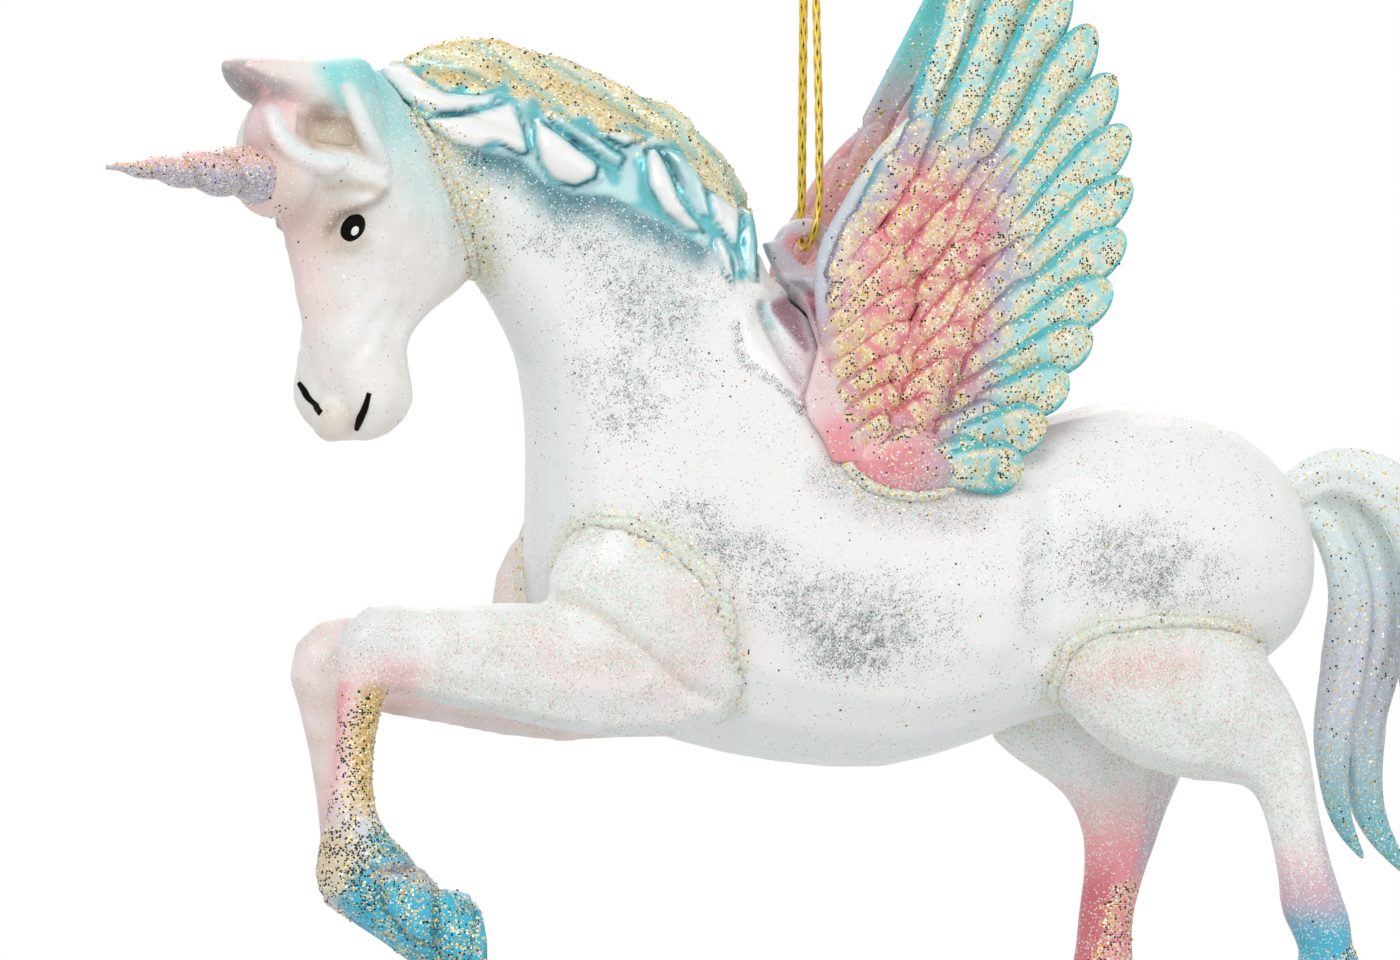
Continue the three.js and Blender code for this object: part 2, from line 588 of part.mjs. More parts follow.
function eyeletHole() {
  const rim = new THREE.Path().absarc(0, 0, eyeletHoleRadius, 0, 2 * Math.PI);
  const disc = rim.getPoints(12).slice(0, -1).map((p) => [p.x, p.y]);
  return solidOf(extrudeSide(disc, [], eyeletThickness + saddleHalfWidth, 0));
}

// Wings: rows of feathers that fan out from an arm along the leading edge, bowed outwards.
// The bow gives, at each height, how far the wing lies inside the widest part of the body.
const wingBow = [[-28, 0.5], [-22, 2.5], [-14, 5.1], [0, 5.7], [16, 3.5], [30, 5.9], [44, 9.5]];
const bowCurve = new THREE.SplineCurve(wingBow.map(([z, inset]) =>
  new THREE.Vector2(z * stretch.z, barrelHalfWidth - inset)));
const bowPoints = bowCurve.getPoints(60);

function bowAt(z) {
  const next = bowPoints.findIndex((p) => p.x >= z);
  if (next <= 0) return (next === 0 ? bowPoints[0] : bowPoints.at(-1)).y;
  const low = bowPoints[next - 1];
  const high = bowPoints[next];
  return THREE.MathUtils.lerp(low.y, high.y, (z - low.x) / (high.x - low.x));
}

const wingArm = drawn([[4, -24], [2, -18], [0, -9.5], [0, -1], [2.8, 4.5], [6.5, 10.5], [11.2, 16], [14.3, 21],
  [17, 29.5], [19, 37], [20.6, 41.5]]);
const primaryPlaces = [0, 0.55, 0.86, 1];
const covertPlaces = [0, 0.6, 0.88, 1];
const featherRows = [
  { count: 13, half: 3.7, layer: 0, places: primaryPlaces, sides: 6,
    roots: [[11.4, 18], [15, 14], [18.6, 7.6], [21.2, 0.4], [21.8, -6.3], [19.9, -13.1], [15.6, -20.7], [11, -26]],
    tips: [[21.5, 43], [28, 36.5], [33.4, 26.5], [36.8, 16], [37.6, 6], [36, -3], [31, -13.5], [22.5, -26]] },
  { count: 9, half: 4, layer: 1, places: covertPlaces, sides: 4,
    roots: [[6.4, 4.6], [12.3, 1.7], [16.3, -4.1], [17.4, -10.4], [15.5, -16.2], [11.7, -22.3], [8.8, -26]],
    tips: [[13, 17], [20.5, 13], [26, 6], [27.4, -2], [25.4, -9.5], [22.5, -17], [17.5, -24.5]] },
  { count: 8, half: 3.8, layer: 2, places: covertPlaces, sides: 4,
    roots: [[4, 2.5], [8.3, -0.4], [10.6, -7.4], [9.5, -14.2], [6.2, -20.2], [3.3, -25]],
    tips: [[9.5, 12], [15.4, 8], [18.8, 0], [18, -8], [15, -15.5], [10, -23]] },
  { count: 7, half: 3.5, layer: 3, places: covertPlaces, sides: 4,
    roots: [[0.6, -2.6], [0.8, -8], [1, -13.4], [1.4, -18.2], [1.6, -22.4]],
    tips: [[5, 5.5], [9.6, 0.5], [10.6, -6.5], [9.2, -13.5], [5.6, -20]] },
].map((row) => ({ ...row, roots: drawn(row.roots), tips: drawn(row.tips) }));
const wingRoot = new THREE.Vector2(3 * stretch.x, -20 * stretch.z);
const wingPad = { at: [7.4, -24.6], inset: 3.3, radii: [9, 4.2, 5.2] };

const featherShape = (place) => ({
  wide: place < 0.7 ? 0.56 + 0.63 * place : Math.sqrt(Math.max(0.02, 1.02 - ((place - 0.7) / 0.3) ** 2)),
  thick: 1 - 0.6 * place,
});

function padSolid(side, grow) {
  const [x, z] = wingPad.at;
  const centre = drawnAt(x, -side * (barrelHalfWidth - wingPad.inset), z);
  return solidOf(oval(centre, vec(...wingPad.radii).addScalar(grow), 14, 8));
}

// The feathers are cast on a thin web that reaches from the arm to the middle of the long feathers
function webSolid(onWing, halfThick) {
  const [{ roots, tips }] = featherRows;
  const rings = evenly(14).map((place) => {
    const inner = along(wingArm, 1 - place);
    const outer = along(roots, place).lerp(along(tips, place), 0.5);
    const chord = evenly(4).map((share) => onWing(inner.clone().lerp(outer, share)));
    const lifted = (points, lift) => points.map((p) => p.clone().add(vec(0, lift, 0)));
    return [...lifted(chord, halfThick), ...lifted(chord, -halfThick).reverse()];
  });
  return solidOf(loft(rings));
}

function wingSolid(side, lean, grow) {
  const onWing = (p) => {
    const leant = new THREE.Vector2(p.x, p.y).rotateAround(wingRoot, -THREE.MathUtils.degToRad(lean));
    return vec(leant.x, -side * bowAt(p.y), leant.y);
  };
  const across = (_, tangent) => vec(0, 1, 0).cross(tangent);
  const solids = [padSolid(side, grow)];
  for (const { count, half, layer, places, sides, roots, tips } of featherRows) {
    for (let i = 0; i < count; i += 1) {
      const root = along(roots, i / (count - 1));
      const tip = along(tips, i / (count - 1));
      const spine = new THREE.CatmullRomCurve3(evenly(3).map((t) => onWing(root.clone().lerp(tip, t))));
      const thick = featherHalfThick + covertStep * layer + grow;
      solids.push(solidOf(leaf(spine, across, half + grow, thick, featherShape, places, sides)));
    }
  }
  solids.push(webSolid(onWing, webHalfThick + grow));
  const curveOf = (points) => new THREE.CatmullRomCurve3(points.map(([x, z]) => onWing(vec(x, z, 0))));
  const armShape = (place) => ({ wide: 1 - 0.55 * place, thick: 1.1 - 0.6 * place });
  const armRadius = wingArmRadius + grow;
  solids.push(solidOf(leaf(curveOf(wingArm), across, armRadius, armRadius, armShape, evenly(10), 8)));
  return joined(solids);
}

// Tail: locks that leave the rump together and part towards their ends
const tailLocks = [
  { sway: -1.4, half: 4.4,
    path: [[61, -30], [68, -26.5], [76, -30], [80.5, -40], [79, -52], [80.5, -62], [87, -69]] },
  { sway: 1.5, half: 4.2,
    path: [[61, -31], [67.5, -29.5], [73.5, -36], [75, -46], [73, -57], [74, -68], [79.5, -76]] },
  { sway: 0.1, half: 3.2,
    path: [[61, -32], [66, -32], [70, -40], [69.5, -50], [68, -60], [69, -68], [72.5, -74]] },
].map((spec) => ({ ...spec, path: drawn(spec.path) }));

function tailSolid(grow) {
  const tailShape = (place) => ({
    wide: 0.55 + 0.45 * Math.sin(Math.PI * Math.min(0.75, place)) - 0.8 * place ** 5,
    thick: 1.1 - 0.75 * place ** 2,
  });
  return joined(tailLocks.map(({ path, sway, half }) => {
    const points = path.map(([x, z], i) => vec(x, sway * Math.min(2, i), z));
    const curve = new THREE.CatmullRomCurve3(points);
    const across = (_, tangent) => vec(0, 1, 0).cross(tangent);
    return solidOf(leaf(curve, across, half + grow, tailHalfThick + grow, tailShape, evenly(11), 6));
  }));
}

// A bead of glue in the corner where a piece meets the body
const beadOn = (grown, kept, glass) => grown.intersect(glass.reach).subtract(kept).subtract(glass.kept);
const glass = { reach: bodyCore(beadReach, 2 * beadRings, 2 * beadSides), kept: bodyCut };

// Cord: one loop from the knot down through the eyelet and back up, as points about the eyelet
const cordSeat = eyeletHoleRadius - 2 * cordRadius - glueGap;
const strandGap = eyeletThickness / 2 + cordRadius + 1.5 * glueGap;
const cordRoute = [
  [0.4, -0.75, cordDrop - glueGap], [0.6, -1.1, 42], [0.9, -1.7, 26], [1.05, -2.1, 12],
  [0.9, -strandGap, 5], [0.35, -strandGap, 2.2], [0, 0, cordSeat], [0.1, strandGap, 2.2], [0.35, strandGap, 5],
  [0.4, 2.1, 12], [0.4, 1.7, 26], [0.4, 1.1, 42], [0.4, 0.75, cordDrop - glueGap],
];

function cordGeometry() {
  const path = new THREE.CatmullRomCurve3(cordRoute.map(([x, y, z]) => vec(x, y, z)), false, 'centripetal');
  const section = new THREE.Shape();
  section.absarc(0, 0, cordRadius, 0, 2 * Math.PI);
  return new THREE.ExtrudeGeometry(section, { extrudePath: path, steps: 50, curveSegments: 4 });
}

// Knot: the two strands tied together, with their cut ends standing above it
function knotSolid() {
  const profile = [[0, 0], [1.5, 0], [1.5, 0.2], [knotRadius, 0.35 * knotHeight], [knotRadius, 0.65 * knotHeight],
    [1.3, 0.95 * knotHeight], [0, knotHeight]];
  const bulb = new THREE.LatheGeometry(profile.map(([x, y]) => new THREE.Vector2(x, y)), 14);
  bulb.rotateX(Math.PI / 2).translate(0.4, 0, 0);
  const ends = [1, -1].map((side) => {
    const top = knotHeight + knotTailLength;
    const curve = new THREE.CatmullRomCurve3([
      vec(0.4, side * 0.3, knotHeight * 0.6), vec(0.4, side * 0.8, knotHeight + 1.5),
      vec(0.4 + side * 0.5, side * 1.8, knotHeight + knotTailLength * 0.5), vec(0.4 + side, side * 3.2, top)]);
    const across = (_, tangent) => vec(1, 0, 0).cross(tangent);
    return solidOf(leaf(curve, across, cordRadius, cordRadius, () => ({ wide: 1, thick: 1 }), evenly(4), 8));
  });
  return joined([solidOf(bulb), ...ends]);
}

// The assembly: everything that swings hangs from the eyelet, below the hook
const ornament = new THREE.Group();
ornament.position.z = -cordDrop;
const assembly = new THREE.Group();
assembly.add(ornament);

function add(name, geometry, material, parent = ornament) {
  geometry.computeVertexNormals();
  const mesh = new THREE.Mesh(geometry, material);
  mesh.name = name;
  parent.add(mesh);
}

const saddleGrown = saddleSolid(glueGap);
add('glass_body', largestBody(glassBody()), pearlGlass);
add('head', largestBody(headSolid()), pearlResin);
add('horn', largestBody(hornSolid(0)), lilacResin);
add('wing_saddle', largestBody(saddleSolid(0).subtract(eyeletHole()).subtract(bodyCut)), lilacResin);
const wings = { wing_left: { side: 1, lean: 0 }, wing_right: { side: -1, lean: farWingLean } };
for (const [name, { side, lean }] of Object.entries(wings)) {
  add(name, largestBody(wingSolid(side, lean, 0).subtract(bodyCut).subtract(saddleGrown)), blushResin);
  const kept = wingSolid(side, lean, glueGap).add(saddleGrown);
  add(`${name}_bead`, largestBody(beadOn(padSolid(side, beadReach), kept, glass)), glitterGlue);
}
for (const [name, shape] of Object.entries(legs)) {
  add(name, largestBody(legSolid(shape, 0).subtract(bodyCut)), pearlResin);
  const grown = legSolid(shape, beadReach, beadRings, beadSides);
  add(`${name}_bead`, largestBody(beadOn(grown, legSolid(shape, glueGap), glass)), glitterGlue);
}
add('tail', largestBody(tailSolid(0).subtract(bodyCut)), tealResin);
add('neck_bead', largestBody(beadOn(headCore(beadReach), headCore(glueGap), glass)), glitterGlue);
add('cord', cordGeometry(), goldCord);
add('cord_knot', largestBody(knotSolid()), goldCord, assembly);

export default assembly;
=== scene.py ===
"""Looks of a hanging ornament: a winged unicorn of frosted, silvered glass with painted resin pieces.

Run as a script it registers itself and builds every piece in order.
The unicorn faces -x and its left side is towards -y. Shapes are given in millimetres about the hole of the
eyelet, as x, y and z or as x and z in side view. Paint and fine relief are given by photo points, which are
pixels from the upper left corner of the photograph.
"""

import math
import random

import bmesh
import bpy
import numpy as np
from bpy.props import FloatProperty, FloatVectorProperty, IntProperty, PointerProperty
from mathutils import Matrix, Vector, noise
from mathutils.bvhtree import BVHTree
from mathutils.kdtree import KDTree


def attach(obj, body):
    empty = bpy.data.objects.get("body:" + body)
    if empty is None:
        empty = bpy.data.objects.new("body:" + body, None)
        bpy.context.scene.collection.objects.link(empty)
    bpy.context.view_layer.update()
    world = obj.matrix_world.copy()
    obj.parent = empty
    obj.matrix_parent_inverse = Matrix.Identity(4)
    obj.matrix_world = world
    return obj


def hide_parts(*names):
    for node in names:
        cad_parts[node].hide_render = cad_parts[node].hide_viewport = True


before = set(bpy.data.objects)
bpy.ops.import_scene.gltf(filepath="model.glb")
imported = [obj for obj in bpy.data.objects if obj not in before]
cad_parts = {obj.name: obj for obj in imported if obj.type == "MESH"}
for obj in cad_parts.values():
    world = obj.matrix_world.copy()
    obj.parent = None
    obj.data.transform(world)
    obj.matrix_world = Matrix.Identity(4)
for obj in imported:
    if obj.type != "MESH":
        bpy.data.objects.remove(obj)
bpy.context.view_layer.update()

bl_info = {
    "name": "Winged Unicorn Ornament",
    "version": (1, 0, 0),
    "blender": (4, 5, 0),
    "location": "3D View > Sidebar > Ornament",
    "description": "Builds the looks of a hanging winged unicorn ornament piece by piece",
    "category": "Object",
}

MM = 0.001
DROP = 52.0  # millimetres from the hook point down to the eyelet
PIXEL = 0.12  # millimetres in one pixel of the photograph
EYELET_U = 805
EYELET_V = 251
VIEW_X = 0.342
VIEW_Y = 0.940
VIEW = Vector((VIEW_X, VIEW_Y, 0.0)).normalized()
ACROSS = Vector((VIEW.y, -VIEW.x, 0))
SPAN_STEPS = 24
WHITE = (1.0, 1.0, 1.0, 1.0)
SHARES = ("gold", "frost", "fleck", "silver", "chrome")


# Settings


def tint(name, description, red, green, blue):
    """A colour setting with its default in screen values from 0 to 255."""
    return FloatVectorProperty(
        name=name,
        description=description,
        default=(red / 255, green / 255, blue / 255),
        subtype="COLOR_GAMMA",
        size=3,
        min=0.0,
        max=1.0,
    )


def span(name, description, millimetres):
    """A length setting with its default in millimetres."""
    return FloatProperty(
        name=name,
        description=description,
        default=millimetres * MM,
        min=0.00001,
        precision=5,
        subtype="DISTANCE",
        unit="LENGTH",
    )


class OrnamentSizes(bpy.types.PropertyGroup):
    """Sizes that the pieces are made with."""

    body_grain: span("Body grain", "Size of the faces of the glass body", 0.5)
    fine_grain: span("Fine grain", "Size of the faces of the painted pieces", 0.4)
    cord_width: span("Cord", "Diameter of the hanging cord", 1.1)
    thread_width: span("Thread", "Diameter of one thread of the braided cord", 0.42)
    flake_radius: span("Flake", "Radius of a glitter flake", 0.17)
    saddle_grain: span("Saddle grain", "Size of the faces of the saddle", 0.34)
    glue_grain: span("Glue grain", "Size of the faces of the beads of glue", 0.24)
    eye_radius: span("Eye", "Half the length of an eye", 1.95)
    seed: IntProperty(name="Seed", description="Start of the glitter's random numbers", default=7, min=0)


class OrnamentColours(bpy.types.PropertyGroup):
    """Colours of paint, glass and glitter."""

    pearl: tint("Pearl", "White pearl paint", 240, 239, 237)
    shade: tint("Shade", "Pale grey of the glass away from the light", 226, 231, 232)
    blush: tint("Blush", "Pink paint", 234, 140, 148)
    petal: tint("Petal", "Pale pink paint", 238, 205, 205)
    rose: tint("Rose", "Deep pink in the corners", 190, 82, 96)
    lilac: tint("Lilac", "Grey lilac paint", 186, 176, 196)
    dusk: tint("Dusk", "Dark lilac in the grooves", 128, 116, 138)
    mist: tint("Mist", "Pale blue green on raised parts", 212, 233, 235)
    teal: tint("Teal", "Blue green paint", 48, 176, 184)
    deep: tint("Deep teal", "Blue green in grooves and on hooves", 0, 120, 138)
    azure: tint("Azure", "Bright blue green on the hooves", 0, 174, 204)
    aqua: tint("Aqua", "Light blue green on the poll and the feathers", 116, 220, 218)
    leaf: tint("Leaf", "Pale green glitter dust", 160, 214, 186)
    beige: tint("Beige", "Sand colour inside the ears", 205, 186, 164)
    # Brown is painted shade round the eyes, between the cord's threads and in the horn's groove. It also
    # lies under the gold on the forelegs' cannons and in a spot inside the ear.
    brown: tint("Brown", "Brown wash round the eyes and in the grooves", 150, 118, 98)
    gold: tint("Gold", "Gold glitter", 206, 166, 36)
    brass: tint("Brass", "Metal thread of the cord", 238, 202, 52)
    champagne: tint("Champagne", "Pale gold glitter", 255, 247, 214)
    # Ink is the real black of the eyes and nostrils. On black glitter flecks and silver grains it is
    # painted reflection of dark surroundings, and in the mane's creases and shadow and between the cord's
    # threads it is painted shade.
    ink: tint("Ink", "Black of eyes, nostrils and flecks", 22, 20, 22)
    # Mirror is painted reflection: the grey stands for the room seen in bare silver where the frost is
    # thin. It also serves as painted shade under the ear tips, on the far ear and in grooves.
    mirror: tint("Mirror", "Grey of the silvered glass where the frost is thin", 150, 155, 158)


def sizes():
    return bpy.context.scene.ornament_sizes


def linear(colour):
    """A colour setting in the linear values that shaders and attributes use."""
    screen = np.array(colour[:], float)
    return np.where(screen <= 0.04045, screen / 12.92, ((screen + 0.055) / 1.055) ** 2.4)


def colour(name):
    return linear(getattr(bpy.context.scene.ornament_colours, name))


# Places


def at(x, y, z):
    """A point in the row frame from millimetres about the eyelet."""
    return Vector((x, y, z - DROP)) * MM


def photo_spot(points):
    """Where points lie in the photograph."""
    across = VIEW_Y * points[:, 0] - VIEW_X * points[:, 1]
    u = EYELET_U + across / (PIXEL * MM)
    v = EYELET_V - (points[:, 2] + DROP * MM) / (PIXEL * MM)
    return np.column_stack([u, v])


def spline(points, count):
    """Evenly spaced points on a smooth line through given ones."""
    knots = [Vector(p) for p in points]
    knots = [2 * knots[0] - knots[1]] + knots + [2 * knots[-1] - knots[-2]]
    fine = []
    for a, b, c, d in zip(knots, knots[1:], knots[2:], knots[3:]):
        one, two, three = ((q - p).length ** 0.5 + 1e-9 for p, q in ((a, b), (b, c), (c, d)))
        start = ((b - a) / one - (c - a) / (one + two) + (c - b) / two) * two
        end = ((c - b) / two - (d - b) / (two + three) + (d - c) / three) * two
        for step in range(SPAN_STEPS):
            t = step / SPAN_STEPS
            fine.append(
                (2 * t**3 - 3 * t**2 + 1) * b
                + (t**3 - 2 * t**2 + t) * start
                + (3 * t**2 - 2 * t**3) * c
                + (t**3 - t**2) * end
            )
    fine.append(knots[-2])
    table = np.array([tuple(p) for p in fine])
    run = np.concatenate([[0], np.cumsum(np.linalg.norm(np.diff(table, axis=0), axis=1))])
    wanted = np.linspace(0, run[-1], count)
    return [Vector([float(np.interp(w, run, column)) for column in table.T]) for w in wanted]


def ease(value, low, high):
    """0 below low, 1 above high and smooth between."""
    share = np.clip((value - low) / (high - low), 0, 1)
    return share * share * (3 - 2 * share)


def fade(value, low, high):
    """1 below low, 0 above high and smooth between."""
    return 1 - ease(value, low, high)


def off_line(spots, line):
    """Distance of each spot from a line of photo points."""
    line = np.array(line, float)
    nearest = np.full(len(spots), 1e9)
    for a, b in zip(line, line[1:]):
        run = b - a
        share = np.clip(((spots - a) @ run) / (run @ run), 0, 1)
        nearest = np.minimum(nearest, np.linalg.norm(spots - a - share[:, None] * run, axis=1))
    return nearest


def stroke(spots, line, width, soft):
    """1 along the middle of a line of photo points, fading to 0 past half its width over the soft edge."""
    return fade(off_line(spots, line), width / 2 - soft / 2, width / 2 + soft)


def blob(spots, centre, radii, soft):
    """1 inside an oval in the photo, fading to 0 outside it."""
    reach = np.linalg.norm((spots - np.array(centre)) / np.array(radii), axis=1)
    return fade(reach, 1 - soft, 1 + soft)


def inside(spots, corners):
    """Distance of each spot inside a polygon of photo points, below 0 outside it."""
    loop = [*corners, corners[0]]
    within = np.zeros(len(spots), bool)
    for (ax, ay), (bx, by) in zip(loop, loop[1:]):
        if ay == by:
            continue
        cross = (ay > spots[:, 1]) != (by > spots[:, 1])
        within ^= cross & (spots[:, 0] < (bx - ax) * (spots[:, 1] - ay) / (by - ay) + ax)
    return np.where(within, 1, -1) * off_line(spots, loop)


def relief(spots, rows):
    """Heights from lines given as height in millimetres, photo points, width and soft edge."""
    return sum(height * stroke(spots, line, width, soft) for height, line, width, soft in rows)


def cushion(spots, corners, height, slope, groove, width):
    """Heights of a panel that rises over its slope, with a groove along its outline."""
    deep = inside(spots, corners)
    return height * np.sqrt(np.clip(deep / slope, 0, 1)) - groove * fade(np.abs(deep), 0, width)


def ragged(points, size):
    """Smooth random values about 0 for points, with bumps of the given size in millimetres."""
    scale = 1 / (size * MM)
    return np.array([noise.noise(Vector(p) * scale) for p in points])


# Shapes


def wrap(bm, rings):
    """Bends a flat grid into a tube through rings of points and returns its vertices ring by ring."""
    around = len(rings[0])
    made = bmesh.ops.create_grid(bm, x_segments=around, y_segments=len(rings) - 1, size=MM)["verts"]
    for index, vert in enumerate(made):
        row, column = divmod(index, around + 1)
        vert.co = rings[row][column % around]
    seam = {made[row * (around + 1) + around]: made[row * (around + 1)] for row in range(len(rings))}
    bmesh.ops.weld_verts(bm, targetmap=seam)
    for row in (0, len(rings) - 1):
        bmesh.ops.contextual_create(bm, geom=made[row * (around + 1) : row * (around + 1) + around])
    return [made[row * (around + 1) : row * (around + 1) + around] for row in range(len(rings))]


def carried_sides(path, first):
    """Two directions across a path at each of its points, carried along without twist."""
    sides = []
    side = Vector(first)
    for index, point in enumerate(path):
        ahead = path[min(index + 1, len(path) - 1)] - path[max(index - 1, 0)]
        ahead.normalize()
        side = (side - ahead * side.dot(ahead)).normalized()
        sides.append((side.copy(), ahead.cross(side)))
    return sides


def off_path(point, sides, out, turn):
    """A point so far out from a point of a path and so far round it."""
    a, b = sides
    return point + out * (math.cos(turn) * a + math.sin(turn) * b)


def tube(bm, path, radius, around, first=(0.3, 0.2, 1)):
    """A round tube along a path. The radius is a number or one number for each point."""
    radii = radius if hasattr(radius, "__len__") else [radius] * len(path)
    turns = [2 * math.pi * k / around for k in range(around)]
    rings = []
    for point, sides, out in zip(path, carried_sides(path, first), radii):
        rings.append([off_path(point, sides, out, turn) for turn in turns])
    return wrap(bm, rings)


def even_radii(values, count):
    """Radii at evenly spaced points of a path, from given ones in millimetres."""
    places = np.linspace(0, 1, len(values))
    return np.interp(np.linspace(0, 1, count), places, [value * MM for value in values]).tolist()


def ball(bm, centre, radii, axes=None, around=24, rows=16):
    """An oval with its half lengths along its own axes."""
    place = Matrix.Translation(centre)
    if axes is not None:
        place = place @ axes.to_4x4()
    place = place @ Matrix.Diagonal((*radii, 1))
    made = bmesh.ops.create_uvsphere(bm, u_segments=around, v_segments=rows, radius=1, matrix=place)
    return made["verts"]


def copy_of(*names):
    """The surfaces of CAD nodes, with their corners merged."""
    bm = bmesh.new()
    for name in names:
        bm.from_mesh(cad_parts[name].data)
    bmesh.ops.remove_doubles(bm, verts=bm.verts[:], dist=1e-6)
    return bm


def largest_island(bm):
    """Removes everything that isn't joined to the largest connected surface."""
    left = set(bm.verts)
    islands = []
    while left:
        stack = [left.pop()]
        island = list(stack)
        while stack:
            vert = stack.pop()
            for edge in vert.link_edges:
                other = edge.other_vert(vert)
                if other in left:
                    left.discard(other)
                    stack.append(other)
                    island.append(other)
        islands.append(island)
    islands.sort(key=len)
    for island in islands[:-1]:
        bmesh.ops.delete(bm, geom=island, context="VERTS")


def fuse(bm, grain, passes):
    """One even skin over everything in bm, smoothed."""
    mesh = bpy.data.meshes.new("fuse")
    bm.to_mesh(mesh)
    bm.free()
    holder = bpy.data.objects.new("fuse", mesh)
    bpy.context.scene.collection.objects.link(holder)
    remesh = holder.modifiers.new("Remesh", "REMESH")
    remesh.mode = "VOXEL"
    remesh.voxel_size = grain
    skin = bmesh.new()
    skin.from_object(holder, bpy.context.evaluated_depsgraph_get())
    bpy.data.objects.remove(holder)
    bpy.data.meshes.remove(mesh)
    largest_island(skin)
    for _ in range(passes):
        bmesh.ops.smooth_vert(
            skin, verts=skin.verts[:], factor=0.5, use_axis_x=True, use_axis_y=True, use_axis_z=True
        )
    return skin


def push(bm, amounts):
    """Moves each vertex along its normal by its amount in millimetres."""
    bm.normal_update()
    moves = [vert.normal * float(amount) * MM for vert, amount in zip(bm.verts, amounts)]
    for vert, move in zip(bm.verts, moves):
        vert.co += move


def points_of(bm):
    return np.array([vert.co[:] for vert in bm.verts])


def near_nodes(points, low, high, *names):
    """1 for points up to the low distance from CAD nodes, fading to 0 at the high one, in millimetres."""
    bm = copy_of(*names)
    tree = BVHTree.FromBMesh(bm)
    bm.free()
    gaps = np.array([tree.find_nearest(Vector(point))[3] for point in points]) / MM
    return fade(gaps, low, high)


def make_piece(bm, name, material, nodes=(), body="ornament"):
    """Turns bm into a piece of the ornament that moves with a body and stands for CAD nodes."""
    bmesh.ops.recalc_face_normals(bm, faces=bm.faces[:])
    mesh = bpy.data.meshes.new(name)
    bm.to_mesh(mesh)
    bm.free()
    mesh.polygons.foreach_set("use_smooth", [True] * len(mesh.polygons))
    mesh.materials.append(material)
    piece = bpy.data.objects.new(name, mesh)
    bpy.context.scene.collection.objects.link(piece)
    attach(piece, body)
    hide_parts(*nodes)
    return piece


# Paint


class Paint:
    """Colour and glitter on a piece's vertices, laid on coat over coat."""

    def __init__(self, piece, ground, mirror=None):
        self.mesh = piece.data
        count = len(self.mesh.vertices)
        self.points = np.zeros(count * 3)
        self.mesh.vertices.foreach_get("co", self.points)
        self.points = self.points.reshape(-1, 3)
        self.normals = np.zeros(count * 3)
        self.mesh.vertices.foreach_get("normal", self.normals)
        self.normals = self.normals.reshape(-1, 3)
        self.spots = photo_spot(self.points if mirror is None else mirror(self.points))
        self.colours = np.tile(colour(ground), (count, 1))
        self.shares = {name: np.zeros(count) for name in SHARES}

    def coat(self, name, mask):
        """Lays a colour over the others where the mask is near 1."""
        mask = np.clip(np.full(len(self.colours), mask), 0, 1)[:, None]
        self.colours = self.colours * (1 - mask) + colour(name) * mask

    def coats(self, mask, **strengths):
        """Lays several colours over each other where the mask is near 1, each with its own strength."""
        for name, strength in strengths.items():
            self.coat(name, strength * mask)

    def strokes(self, rows):
        """Lays lines given as colour, photo points, width, strength and soft edge."""
        for name, points, width, strength, soft in rows:
            self.coat(name, strength * stroke(self.spots, points, width, soft))

    def sprinkle(self, share, amount):
        """Adds glitter of one kind, as the share of the surface that it covers."""
        self.shares[share] = np.clip(self.shares[share] + amount, 0, 1)

    def sprinkles(self, mask, **amounts):
        """Adds several kinds of glitter where the mask is near 1."""
        for share, amount in amounts.items():
            self.sprinkle(share, amount * mask)

    def store(self):
        """Writes the colours and shares to the mesh for its material to read."""
        paint = self.mesh.attributes.new("paint", "FLOAT_COLOR", "POINT")
        values = np.column_stack([self.colours, np.ones(len(self.colours))])
        paint.data.foreach_set("color", values.ravel())
        for name, values in self.shares.items():
            share = self.mesh.attributes.new(name, "FLOAT", "POINT")
            share.data.foreach_set("value", values)


def left_side(points):
    """Points with the right half folded over onto the left one."""
    folded = points.copy()
    folded[:, 1] = -np.abs(folded[:, 1])
    return folded


# Materials


